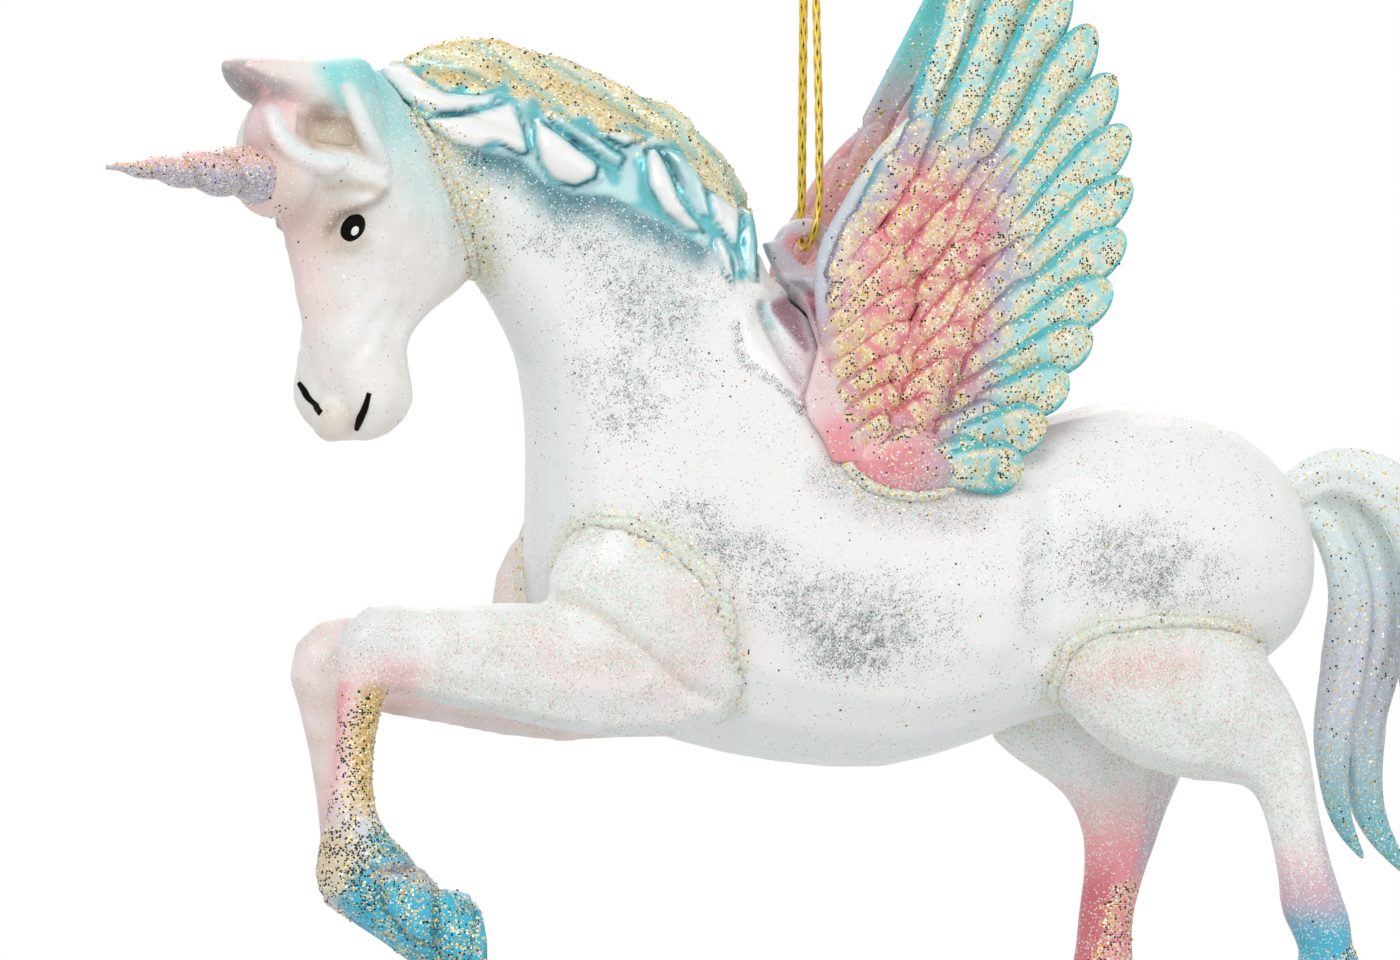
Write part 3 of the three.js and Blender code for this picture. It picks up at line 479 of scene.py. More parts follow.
class Wire:
    """A node's output that takes part in sums and products. Each one adds a Math node."""

    def __init__(self, tree, socket):
        self.tree = tree
        self.socket = socket

    def node(self, kind, settings=None, inputs=None, output=0):
        """Adds a node, with its settings first and then the values or wires of its sockets."""
        node = self.tree.nodes.new(kind)
        for name, value in (settings or {}).items():
            setattr(node, name, value)
        for name, value in (inputs or {}).items():
            if isinstance(value, Wire):
                self.tree.links.new(value.socket, node.inputs[name])
            else:
                node.inputs[name].default_value = value
        return Wire(self.tree, node.outputs[output]) if node.outputs else None

    def math(self, operation, first, second):
        return self.node("ShaderNodeMath", {"operation": operation}, {0: first, 1: second})

    def __add__(self, other):
        return self.math("ADD", self, other)

    __radd__ = __add__

    def __mul__(self, other):
        return self.math("MULTIPLY", self, other)

    __rmul__ = __mul__

    def __sub__(self, other):
        return self.math("SUBTRACT", self, other)

    def __rsub__(self, other):
        return self.math("SUBTRACT", other, self)

    def __lt__(self, other):
        return self.math("LESS_THAN", self, other)

    def vector(self, operation, other):
        return self.node("ShaderNodeVectorMath", {"operation": operation}, {0: self, 1: other})

    def beside(self, output):
        """Another output of the same node."""
        return Wire(self.tree, self.socket.node.outputs[output])

    def centred(self, size):
        """A random colour as a vector about nothing, of the given size."""
        middle = self.vector("SUBTRACT", (0.5, 0.5, 0.5))
        return middle.node("ShaderNodeVectorMath", {"operation": "SCALE"}, {0: middle, "Scale": size})

    def cloud(self, scale, detail):
        """Soft noise over these coordinates."""
        inputs = {"Vector": self, "Scale": scale, "Detail": detail}
        return self.node("ShaderNodeTexNoise", {}, inputs, "Fac")

    def tone(self, name):
        """A wire of one of the colour settings."""
        wire = self.node("ShaderNodeRGB")
        wire.socket.default_value = (*colour(name), 1.0)
        return wire

    def over(self, under, factor):
        """This colour laid over another one."""
        return self.node("ShaderNodeMix", {"data_type": "RGBA"}, {0: factor, 6: under, 7: self}, 2)


def new_material(name):
    """A material with an empty node tree, and a wire of the object's own coordinates."""
    material = bpy.data.materials.new(name)
    material.use_nodes = True
    tree = material.node_tree
    tree.nodes.clear()
    place = tree.nodes.new("ShaderNodeTexCoord")
    return material, Wire(tree, place.outputs["Object"])


def surfaced(material, place, inputs):
    """Ends a material in one surface with these inputs."""
    surface = place.node("ShaderNodeBsdfPrincipled", {}, inputs)
    surface.node("ShaderNodeOutputMaterial", {}, {"Surface": surface})
    return material


# Cells to the metre, and a shift that sets one kind of cells off from the others
SILVER_PLATES = (2300.0, 0.053)
SILVER_GRAINS = (6400.0, 0.071)
FROST_DUST = (5000.0, 0.011)
GOLD_FLAKES = (3300.0, 0.037)


def cells(place, scale, shift):
    """Glitter cells: how far a spot is from its cell's middle, then the cell's colour and three numbers."""
    moved = place.vector("ADD", (shift, 0.7 * shift, 0.3 * shift))
    settings = {"voronoi_dimensions": "3D", "feature": "F1"}
    distance = moved.node("ShaderNodeTexVoronoi", settings, {"Vector": moved, "Scale": scale}, "Distance")
    hue = distance.beside("Color")
    first = hue.node("ShaderNodeSeparateColor", {}, {"Color": hue}, "Red")
    return distance, hue, first, first.beside("Green"), first.beside("Blue")


def painted(name, rough, coat):
    """Pearl paint from the piece's colours, with the glitter, silver and chrome that its shares ask for."""
    material, place = new_material(name)

    def share(kind):
        return place.node("ShaderNodeAttribute", {"attribute_name": kind}, {}, "Fac")

    paint = place.node("ShaderNodeAttribute", {"attribute_name": "paint"}, {}, "Color")
    base = place.tone("pearl").over(paint, 0.05 * place.cloud(300.0, 3.0))

    # Where the silver share is high, bare silver shows as painted reflection: mottled grey plates, then
    # grey and black grains.
    _, _, _, depth, _ = cells(place, *SILVER_PLATES)
    plate = place.tone("mirror").over(WHITE, 1.3 * depth)
    base = plate.over(base, 0.7 * share("silver"))

    distance, _, number, depth, _ = cells(place, *SILVER_GRAINS)
    silver = (number < share("silver")) * (distance < 0.62)
    base = place.tone("ink").over(place.tone("mirror"), 0.85 * depth).over(base, 0.8 * silver)

    distance, hue, number, depth, pick = cells(place, *FROST_DUST)
    dust = (number < share("frost")) * (distance < 0.55)
    tinge = place.tone("rose").over(place.tone("leaf"), pick < 0.28)
    base = tinge.over(WHITE, 0.85 * depth).over(base, 0.8 * dust)

    distance, slant, number, depth, pick = cells(place, *GOLD_FLAKES)
    flake = (number < share("gold")) * (distance < 0.52)
    # Some flakes are painted black, as the fleck share asks: painted reflection of dark surroundings in the
    # glitter.
    black = pick < share("fleck")
    gilt = place.tone("champagne").over(place.tone("gold"), 1.15 * depth - 0.08)
    base = place.tone("ink").over(gilt, black).over(base, 0.95 * flake)

    flat = place.node("ShaderNodeNewGeometry", {}, {}, "Normal")
    leaning = flat.vector("ADD", slant.centred(0.9 * flake)).vector("ADD", hue.centred(0.5 * dust))
    leaning = leaning.node("ShaderNodeVectorMath", {"operation": "NORMALIZE"}, {0: leaning})
    grain = place.cloud(1600.0, 2.0)
    settings = {"Strength": 0.1, "Distance": 0.0002, "Height": grain, "Normal": leaning}
    bumpy = grain.node("ShaderNodeBump", {}, settings)
    chrome = share("chrome")
    inputs = {
        "Base Color": base,
        "Metallic": 0.4 * flake + 0.45 * silver + 0.65 * chrome,
        "Roughness": rough - 0.1 * flake - 0.1 * silver - 0.2 * chrome,
        "Normal": bumpy,
        "Coat Weight": coat,
        "Coat Roughness": 0.12,
        "Specular IOR Level": 0.3,
    }
    return surfaced(material, place, inputs)


def plain(name, tone, rough, shine=0.5):
    """One colour all over, slightly uneven."""
    material, place = new_material(name)
    cloud = place.cloud(900.0, 2.0)
    low = (*(0.8 * tone), 1.0)
    high = (*np.minimum(1.0, 1.15 * tone), 1.0)
    base = cloud.node("ShaderNodeMix", {"data_type": "RGBA"}, {0: cloud, 6: low, 7: high}, 2)
    return surfaced(material, place, {"Base Color": base, "Roughness": rough, "Specular IOR Level": shine})


# Pieces


CAMERA_LENS = 643.0
CAMERA_DISTANCE = 3.0
CAMERA_AIM = Vector((-0.01184, 0.00431, -0.07948))


class ORNAMENT_OT_camera(bpy.types.Operator):
    """Place the camera where the photograph was taken from"""

    bl_idname = "ornament.camera"
    bl_label = "Camera"

    def execute(self, context):
        data = bpy.data.cameras.new("camera")
        data.sensor_width = 36.0
        data.lens = CAMERA_LENS
        data.clip_end = 20.0
        camera = bpy.data.objects.new("camera", data)
        context.scene.collection.objects.link(camera)
        camera.location = CAMERA_AIM - CAMERA_DISTANCE * VIEW
        camera.rotation_euler = VIEW.to_track_quat("-Z", "Y").to_euler()
        context.scene.camera = camera
        return {"FINISHED"}


CORD_ROUTE = [
    (0.4, -0.75, 51.7), (0.6, -1.1, 42), (0.9, -1.7, 26), (1.05, -2.1, 12), (0.9, -2.2, 5),
    (0.35, -2.2, 2.2), (0, 0, 0.35), (0.1, 2.2, 2.2), (0.35, 2.2, 5), (0.4, 2.1, 12), (0.4, 1.7, 26),
    (0.4, 1.1, 42), (0.4, 0.75, 51.7),
]
CORD_POINTS = 520
CORD_THREADS = 8
CORD_TURN = 0.105  # radians round the cord from one of its points to the next
KNOT_X = 0.4
KNOT_FOOT = 52.65
KNOT_HEIGHT = 3.0
KNOT_TURNS = 3.4
KNOT_POINTS = 150
END_ROUTE = [(0, 0.3, 54.5), (0, 0.8, 57.7), (0.5, 1.8, 60.7), (1, 3.2, 65.2)]
END_POINTS = 90
END_THREADS = 6
END_TURN = 0.16


class ORNAMENT_OT_cord(bpy.types.Operator):
    """Braid the hanging cord from eight threads and tie its knot"""

    bl_idname = "ornament.cord"
    bl_label = "Cord"

    def execute(self, context):
        gold = painted("gold thread", 0.5, 0.0)
        thread = sizes().thread_width / 2
        reach = sizes().cord_width / 2 - thread
        path = spline([at(*p) for p in CORD_ROUTE], CORD_POINTS)
        sides = carried_sides(path, (1, 0, 0))
        bm = bmesh.new()
        for k in range(CORD_THREADS):
            way = 1 if k % 2 else -1
            line = []
            for index, (point, across) in enumerate(zip(path, sides)):
                turn = way * index * CORD_TURN + 2 * math.pi * k / CORD_THREADS
                weave = math.cos(2 * turn + way * 0.8) * 0.28
                line.append(off_path(point, across, reach * (0.86 + way * 0.5 * weave), turn))
            tube(bm, line, thread, 6, (1, 0, 0))
        cord = make_piece(bm, "braided_cord", gold, ["cord"], "cord")
        self.gild(cord, path)

        bm = bmesh.new()
        coil = []
        for step in range(KNOT_POINTS):
            share = step / (KNOT_POINTS - 1)
            angle = 2 * math.pi * KNOT_TURNS * share
            swell = 0.75 + 0.32 * math.sin(math.pi * share)
            x = KNOT_X + swell * math.cos(angle)
            coil.append(at(x, swell * math.sin(angle), KNOT_FOOT + KNOT_HEIGHT * share))
        tube(bm, coil, 0.6 * MM, 10)
        ball(bm, at(KNOT_X, 0, 54.1), (1.2 * MM, 1.2 * MM, 1.9 * MM))
        for side in (1, -1):
            end = spline([at(KNOT_X + side * x, side * y, z) for x, y, z in END_ROUTE], END_POINTS)
            frames = carried_sides(end, (1, 0, 0))
            for k in range(END_THREADS):
                line = []
                for index, (point, across) in enumerate(zip(end, frames)):
                    turn = END_TURN * index + 2 * math.pi * k / END_THREADS
                    line.append(off_path(point, across, 0.3 * MM, turn))
                tube(bm, line, 0.24 * MM, 6)
        knot = make_piece(bm, "cord_end_knot", gold, ["cord_knot"], "knot")
        self.gild(knot, coil)
        return {"FINISHED"}

    def gild(self, piece, path):
        """Painted highlight of pale gold on the outside of the threads and painted shade of brown and black
        between them.
        """
        paint = Paint(piece, "brass")
        middle = KDTree(len(path))
        for index, point in enumerate(path):
            middle.insert(point, index)
        middle.balance()
        out = np.array([middle.find(point)[2] for point in paint.points]) / MM
        paint.coat("brown", 0.8 * fade(out, 0.34, 0.46))
        paint.coat("ink", 0.9 * fade(out, 0.29, 0.41))
        paint.coat("champagne", 0.45 * ease(out, 0.5, 0.56))
        paint.sprinkle("chrome", 0.9)
        paint.store()


BEADS = (
    "neck_bead", "wing_left_bead", "wing_right_bead", "foreleg_left_bead", "foreleg_right_bead",
    "hindleg_left_bead", "hindleg_right_bead",
)
MANE_GROUND = [
    (376, 64), (395, 48), (430, 38), (490, 36), (560, 60), (640, 92), (685, 112), (700, 135), (735, 165),
    (760, 205), (757, 274), (739, 282), (712, 250), (686, 236), (650, 216), (611, 196), (575, 194),
    (545, 182), (522, 160), (485, 153), (444, 134), (411, 112), (388, 86),
]
GOLD_EDGE = [
    (370, 58), (398, 58), (414, 66), (430, 80), (452, 92), (480, 95), (505, 92), (540, 108), (570, 118),
    (598, 130), (650, 134), (684, 150), (702, 180), (722, 195), (746, 207), (775, 215), (775, 20),
    (370, 20),
]
MANE_PANELS = [
    [(381, 64), (398, 60), (414, 70), (428, 84), (449, 96), (477, 98), (500, 95), (492, 108), (464, 115),
     (431, 117), (405, 104), (388, 84)],
    [(418, 110), (434, 120), (464, 118), (492, 111), (513, 104), (525, 130), (530, 155), (522, 158),
     (505, 148), (494, 146), (480, 153), (456, 148), (432, 131)],
    [(534, 118), (552, 130), (574, 147), (599, 166), (597, 180), (576, 189), (553, 183), (541, 166),
     (535, 142)],
    [(540, 106), (565, 118), (592, 136), (612, 149), (626, 158), (620, 172), (604, 164), (580, 146),
     (556, 128)],
    [(598, 131), (625, 134), (650, 136), (640, 143), (625, 149), (609, 141)],
    [(645, 152), (656, 148), (667, 168), (677, 193), (690, 216), (708, 234), (686, 232), (663, 214),
     (648, 188)],
    [(659, 147), (681, 153), (699, 171), (707, 194), (714, 222), (698, 218), (682, 198), (673, 173)],
    [(706, 190), (720, 197), (741, 209), (740, 226), (737, 250), (727, 238), (714, 222)],
    [(712, 239), (722, 238), (731, 257), (737, 290), (724, 276), (717, 257)],
    [(742, 208), (752, 207), (757, 245), (757, 282), (745, 280), (741, 250)],
]
TEAL_PANELS = (3, 6, 9)
MANE_SHADOW = [(484, 156), (530, 170), (565, 200), (611, 197), (650, 222), (700, 246)]
MANE_GROOVES = [
    [(424, 62), (462, 72), (508, 94)],
    [(478, 46), (516, 76), (556, 104)],
    [(545, 62), (600, 92), (648, 128)],
    [(640, 98), (674, 122), (694, 158)],
    [(696, 134), (724, 168), (744, 204)],
]
DRAPE = [(738, 300), (768, 284), (800, 290), (826, 345), (830, 430), (806, 415), (782, 388), (745, 362)]
DRAPE_FOLD = [(769, 304), (792, 293), (800, 313), (810, 351), (806, 354), (786, 331), (772, 314)]
DRAPE_EDGE = [(762, 307), (770, 327), (784, 355), (800, 379)]
DRAPE_SEAM = [(736, 326), (741, 358), (760, 375), (780, 386), (802, 410)]
NECK_SEAM = [(417, 125), (452, 163), (470, 203), (477, 235), (481, 272)]
# Photo point, half lengths and strength
SILVER_PATCHES = [
    ((735, 566), (42, 26), 0.8), ((790, 590), (44, 24), 0.5), ((868, 628), (62, 40), 0.75),
    ((862, 640), (32, 24), 0.4), ((690, 514), (30, 18), 0.5), ((1150, 568), (52, 38), 0.8),
    ((1075, 545), (34, 34), 0.35), ((640, 372), (52, 50), 0.4), ((650, 290), (52, 44), 0.55),
    ((632, 404), (26, 24), 0.3), ((572, 236), (40, 26), 0.4), ((1028, 590), (8, 60), 0.45),
]
BODY_RELIEF = [
    *[(-0.6, groove, 6, 12) for groove in MANE_GROOVES],
    (-0.6, [(1036, 480), (1041, 560), (1036, 640)], 20, 24),
    (0.4, [(1008, 480), (1012, 560), (1000, 640)], 26, 30),
    (0.4, [(742, 312), (762, 296), (786, 290)], 14, 16),
    (-0.5, DRAPE_EDGE, 4, 8),
    (-0.3, DRAPE_SEAM, 3, 6),
]
# The teal line is a faint painted shadow of the mane on the neck; the shade line is painted shade in the
# fold of the flank.
GLASS_STROKES = [
    ("teal", [(540, 212), (612, 244), (672, 318)], 34, 0.14, 44),
    ("shade", [(1040, 490), (1044, 560), (1040, 637)], 8, 0.8, 12),
    ("petal", [(700, 590), (720, 640), (690, 690)], 40, 0.3, 40),
]
UNDER_WING = [(832, 478), (870, 500), (920, 510), (980, 505)]
NECK_HOLE = (-48.2, -1.6, 9.2)


class ORNAMENT_OT_body(bpy.types.Operator):
    """Make the frosted glass body with its mane"""

    bl_idname = "ornament.body"
    bl_label = "Glass body"

    def execute(self, context):
        bm = copy_of("glass_body")
        ball(bm, at(*NECK_HOLE), (3 * MM, 3 * MM, 3 * MM))  # stops the hole
        bm = fuse(bm, sizes().body_grain, 6)
        points = points_of(bm)
        spots = photo_spot(left_side(points))
        amounts = relief(spots, BODY_RELIEF)
        for corners in MANE_PANELS:
            amounts += cushion(spots, corners, 0.85, 9, 0.3, 5)
        amounts += 0.5 * blob(spots, (678, 112), (22, 16), 0.6)
        amounts -= 0.5 * blob(spots, (528, 46), (20, 14), 0.6)
        amounts -= 0.3 * ease(inside(spots, DRAPE_FOLD), 0, 6)
        amounts += 0.3 * near_nodes(points, 0.1, 1.2, *BEADS)
        push(bm, amounts)
        coat = painted("frosted glass", 0.34, 0.3)
        piece = make_piece(bm, "frosted_body", coat, ["glass_body"])
        paint = Paint(piece, "pearl", left_side)
        self.glass(paint)
        self.mane(paint)
        paint.store()
        return {"FINISHED"}

    def glass(self, paint):
        """Frost with bare silver showing through it, the silver's grey a painted reflection, and painted
        shade under the belly and on the chest.
        """
        spots = paint.spots
        uneven = ragged(paint.points, 4.0) + 0.5 * ragged(paint.points, 1.6)
        clumps = ragged(paint.points, 0.9)
        paint.coat("shade", 0.8 * ease(-paint.normals[:, 2], 0.1, 0.9))
        paint.coat("shade", 0.9 * ease(-paint.normals[:, 0], 0.45, 0.95))
        paint.sprinkle("frost", 0.14 + 0.14 * uneven)
        paint.sprinkle("silver", 0.008 + 0.03 * uneven)
        paint.sprinkles(1, gold=0.004, fleck=0.6)
        # Silver patches: bare silver through thin frost, whose grey and grains are painted reflection.
        for centre, radii, strength in SILVER_PATCHES:
            patch = strength * np.clip(blob(spots, centre, radii, 0.9) * (0.85 + 1.2 * uneven), 0, 1)
            paint.coat("mirror", 0.16 * patch)
            paint.sprinkle("silver", 0.85 * patch * np.clip(0.72 + 1.9 * clumps, 0.12, 1.2))
            paint.sprinkle("frost", 0.25 * patch)
        self.drape(paint, clumps)
        paint.strokes(GLASS_STROKES)
        seam = stroke(spots, NECK_SEAM, 30, 22) * (0.9 + 0.5 * uneven)
        paint.coats(seam, beige=0.7, leaf=0.3)
        paint.sprinkles(seam, gold=0.5, frost=0.6)
        paint.shares["fleck"] = np.where(seam > 0.1, 0.1, paint.shares["fleck"])
        glued = near_nodes(paint.points, 0.2, 2.2, *BEADS) * np.clip(0.8 + 0.9 * uneven, 0, 1)
        paint.coats(glued, beige=0.3, leaf=0.15)
        paint.sprinkles(glued, gold=0.18, frost=0.4)
        paint.shares["fleck"] *= 1 - 0.9 * ease(glued, 0.02, 0.2)
        under = stroke(spots, UNDER_WING, 22, 26) * (0.9 + 0.6 * uneven)
        paint.coats(under, petal=0.4, mirror=0.3)
        paint.sprinkles(under, frost=0.5, silver=0.2)

    def drape(self, paint, clumps):
        """Bright folds at the withers, a mauve hollow of painted shade and reflection, a groove with a
        painted shade line and a speckled seam.
        """
        spots = paint.spots
        drape = ease(inside(spots, DRAPE), -8, 8)
        towards_wing = drape * ease(spots[:, 0] + 0.3 * (spots[:, 1] - 350), 776, 816)
        paint.coat("pearl", 0.8 * drape)
        paint.coats(towards_wing, petal=0.7, lilac=0.35)
        # Painted shade and reflection: dark mauve in the hollow of the fold.
        paint.coats(ease(inside(spots, DRAPE_FOLD), -3, 5), dusk=0.75, rose=0.3)
        # Painted shade: a grey and teal line in the groove along the fold's edge.
        paint.strokes([("mirror", DRAPE_EDGE, 4, 0.5, 8), ("teal", DRAPE_EDGE[:2], 4, 0.5, 8)])
        paint.shares["chrome"] = 0.35 * drape
        # The seam's silver grains are painted reflection.
        paint.sprinkle("silver", 0.7 * stroke(spots, DRAPE_SEAM, 5, 6) * np.clip(0.8 + 2 * clumps, 0, 1))

    def mane(self, paint):
        """Glossy locks in white and blue green below a crest of gold glitter, with painted shade in the
        creases round the locks and a painted shadow under them.
        """
        spots = paint.spots
        uneven = ragged(paint.points, 2.5)
        ground = ease(inside(spots, MANE_GROUND), -5, 4)
        shadow = stroke(spots, MANE_SHADOW, 22, 26) * (1 - ground) * np.clip(1.05 + 0.9 * uneven, 0, 1)
        paint.coats(shadow, teal=0.75, deep=0.9, ink=0.15)
        paint.shares["silver"] *= 1 - 0.8 * shadow
        paint.shares["frost"] *= 1 - 0.7 * shadow
        paint.sprinkles(shadow, silver=0.15, frost=0.08)
        paint.coat("teal", 0.9 * ground)
        paint.coat("mist", 0.7 * ground * ease(uneven, -0.15, 0.25))
        paint.shares["chrome"] = np.maximum(paint.shares["chrome"], 0.45 * ground)
        paint.shares["frost"] *= 1 - ground
        paint.shares["silver"] *= 1 - ground
        for order, corners in enumerate(MANE_PANELS):
            deep = inside(spots, corners)
            if order not in TEAL_PANELS:
                paint.coat("mist", 0.95 * ease(deep, -1, 3))
                paint.coat("pearl", 0.95 * ease(deep, 1.5, 6))
                paint.shares["chrome"] *= 1 - 0.6 * ease(deep, 0, 4)
            else:
                paint.coat("mist", 0.7 * ease(deep, 2, 6))
            # Painted shade in the crease round each lock: teal, then deep teal and black at the outline.
            rim = fade(np.abs(deep), 0.5, 4)
            paint.coat("teal", 0.75 * rim * (0.6 + 1.2 * uneven))
            paint.coat("deep", 0.8 * fade(np.abs(deep), 0.5, 2.6) * ease(uneven, -0.1, 0.2))
            paint.coat("ink", 0.5 * fade(np.abs(deep), 0.3, 2.0) * ease(uneven, 0.05, 0.3))
        gold = ease(inside(spots, GOLD_EDGE) + 16 * uneven, -4, 7) * ground
        paint.coat("champagne", 0.75 * gold)
        paint.coat("gold", 0.6 * gold * ease(paint.normals[:, 2], 0.3, 0.9))
        for line in MANE_GROOVES:
            groove = stroke(spots, line, 4, 7)
            paint.coat("teal", 0.6 * groove * gold)
            # Painted shade: an ink line along the bottom of the groove.
            paint.coat("ink", 0.45 * stroke(spots, line, 2, 4) * ease(uneven, -0.05, 0.2))
            gold = gold * (1 - 0.7 * groove)
        paint.shares["chrome"] *= 1 - 0.7 * gold
        paint.shares["fleck"] = paint.shares["fleck"] * (1 - ground) + 0.05 * ground
        paint.sprinkle("gold", gold * (0.85 + 0.9 * ragged(paint.points, 2.0)))


HEAD_TURN = math.radians(30)
HEAD_FORWARD = Vector((-math.cos(HEAD_TURN), -math.sin(HEAD_TURN), 0))
HEAD_LEFT = Vector((math.sin(HEAD_TURN), -math.cos(HEAD_TURN), 0))
HEAD_ORIGIN = at(-71.45, -13, 0)


def on_head(forward, left, up):
    """A point of the head from millimetres in the head's own frame."""
    return HEAD_ORIGIN + MM * (forward * HEAD_FORWARD + left * HEAD_LEFT) + Vector((0, 0, up * MM))


def left_face(points):
    """Points of the head with its right half folded over onto the left one."""
    local = points - np.array(HEAD_ORIGIN)
    left = local @ np.array(HEAD_LEFT)
    return points + np.outer(np.abs(left) - left, np.array(HEAD_LEFT))


def on_face(u, v, left):
    """The point of the head behind a photo point, at so many millimetres to the left of its middle."""
    start = ACROSS.dot(on_head(0, left, 0)) / MM
    forward = ((u - EYELET_U) * PIXEL - start) / ACROSS.dot(HEAD_FORWARD)
    return forward, left, (EYELET_V - v) * PIXEL


# Photo point, millimetres to the left of the head's middle, and radius
EAR_PARTS = [
    [(252, 70, 1.6, 0.6), (275, 77, 2.6, 1.8), (300, 85, 3.2, 2.7), (325, 89, 3.8, 3), (346, 89, 4.2, 3.2),
     (362, 87, 4.2, 3.2)],
    [(276, 116, 2, 0.8), (284, 139, 3.1, 1.3), (297, 154, 4.2, 1.55), (315, 163, 5.5, 1.45),
     (336, 166, 6.6, 1.2), (352, 163, 7.4, 0.6)],
    [(352, 94, 6, 1.2), (361, 114, 6.9, 1.25), (370, 136, 7.4, 1.25), (381, 153, 7.6, 1.25),
     (389, 168, 7.7, 1), (391, 178, 7.8, 0.4)],
]
EAR_HOLLOW = [(302, 114), (352, 120), (362, 140), (370, 160), (350, 156), (318, 152), (300, 138)]
EAR_POINTS = 24
HEAD_CUT = 1.2
# Place in the head's frame and half lengths of the forelock, the brow and the lip
HEAD_OVALS = [
    ((0.2, 0.6, 13.5), (4.6, 4.4, 5)),
    ((0.6, 0, 8.7), (4.4, 5.4, 5.2)),
    ((-9.9, 0, -20.4), (2.2, 2.6, 2.6)),
]
FACE_RELIEF = [
    (0.9, [(334, 182), (352, 178), (378, 184)], 12, 12),
    (0.95, [(334, 227), (340, 214), (361, 207), (379, 199), (385, 190)], 7, 7),
    (0.35, [(340, 248), (356, 250), (370, 240)], 8, 8),
    (0.4, [(385, 298), (366, 322), (352, 352)], 9, 9),
    (0.3, [(398, 300), (384, 330), (374, 356)], 8, 8),
    (0.3, [(318, 300), (322, 345), (318, 380)], 16, 16),
    (0.5, [(384, 392), (384, 418)], 34, 34),
    (-0.35, [(352, 260), (362, 300), (352, 345)], 18, 18),
]
POLL_STROKES = [
    ("aqua", [(362, 66), (388, 88), (402, 122)], 32, 0.75, 34),
    ("aqua", [(402, 122), (416, 160), (426, 190)], 26, 0.2, 40),
    ("teal", [(366, 70), (388, 92), (402, 130)], 14, 0.35, 22),
    ("aqua", [(404, 122), (440, 165), (468, 220)], 40, 0.12, 36),
    ("mist", [(404, 122), (440, 165), (468, 220)], 40, 0.4, 36),
    ("aqua", [(338, 76), (350, 98)], 16, 0.85, 20),
]
FRONT_STROKES = [
    ("petal", [(284, 110), (276, 150), (284, 205)], 40, 0.6, 24),
    ("lilac", [(272, 130), (264, 170)], 14, 0.35, 20),
    ("blush", [(290, 108), (276, 116)], 12, 0.2, 16),
    ("beige", [(280, 150), (288, 180), (296, 205)], 22, 0.5, 24),
]
# Painted shade round the eye and in the creases of the lid and the brow.
EYE_STROKES = [
    ("brown", [(332, 240), (338, 216), (360, 210)], 6, 0.35, 8),
    ("brown", [(342, 247), (358, 250), (368, 242)], 5, 0.3, 8),
    ("brown", [(335, 229), (343, 218), (363, 212), (381, 204), (388, 194)], 5, 0.55, 6),
    ("beige", [(334, 191), (353, 188), (380, 193)], 6, 0.7, 8),
]
CHEEK_STROKES = [
    ("shade", [(380, 300), (362, 324), (348, 352)], 5, 0.5, 8),
    ("shade", [(393, 300), (379, 330), (368, 356)], 5, 0.4, 8),
]
EYE_SPOT = (357, 231)
NOSTRIL_POINTS = 20
# Photo point and radius
NOSTRILS = [
    [(303, 384, 0.35), (308, 391, 0.5), (312, 398, 0.34), (318, 404, 0.55), (325, 414, 0.4)],
    [(373, 394, 0.3), (369, 408, 0.42), (364, 419, 0.5), (360, 430, 0.3)],
]


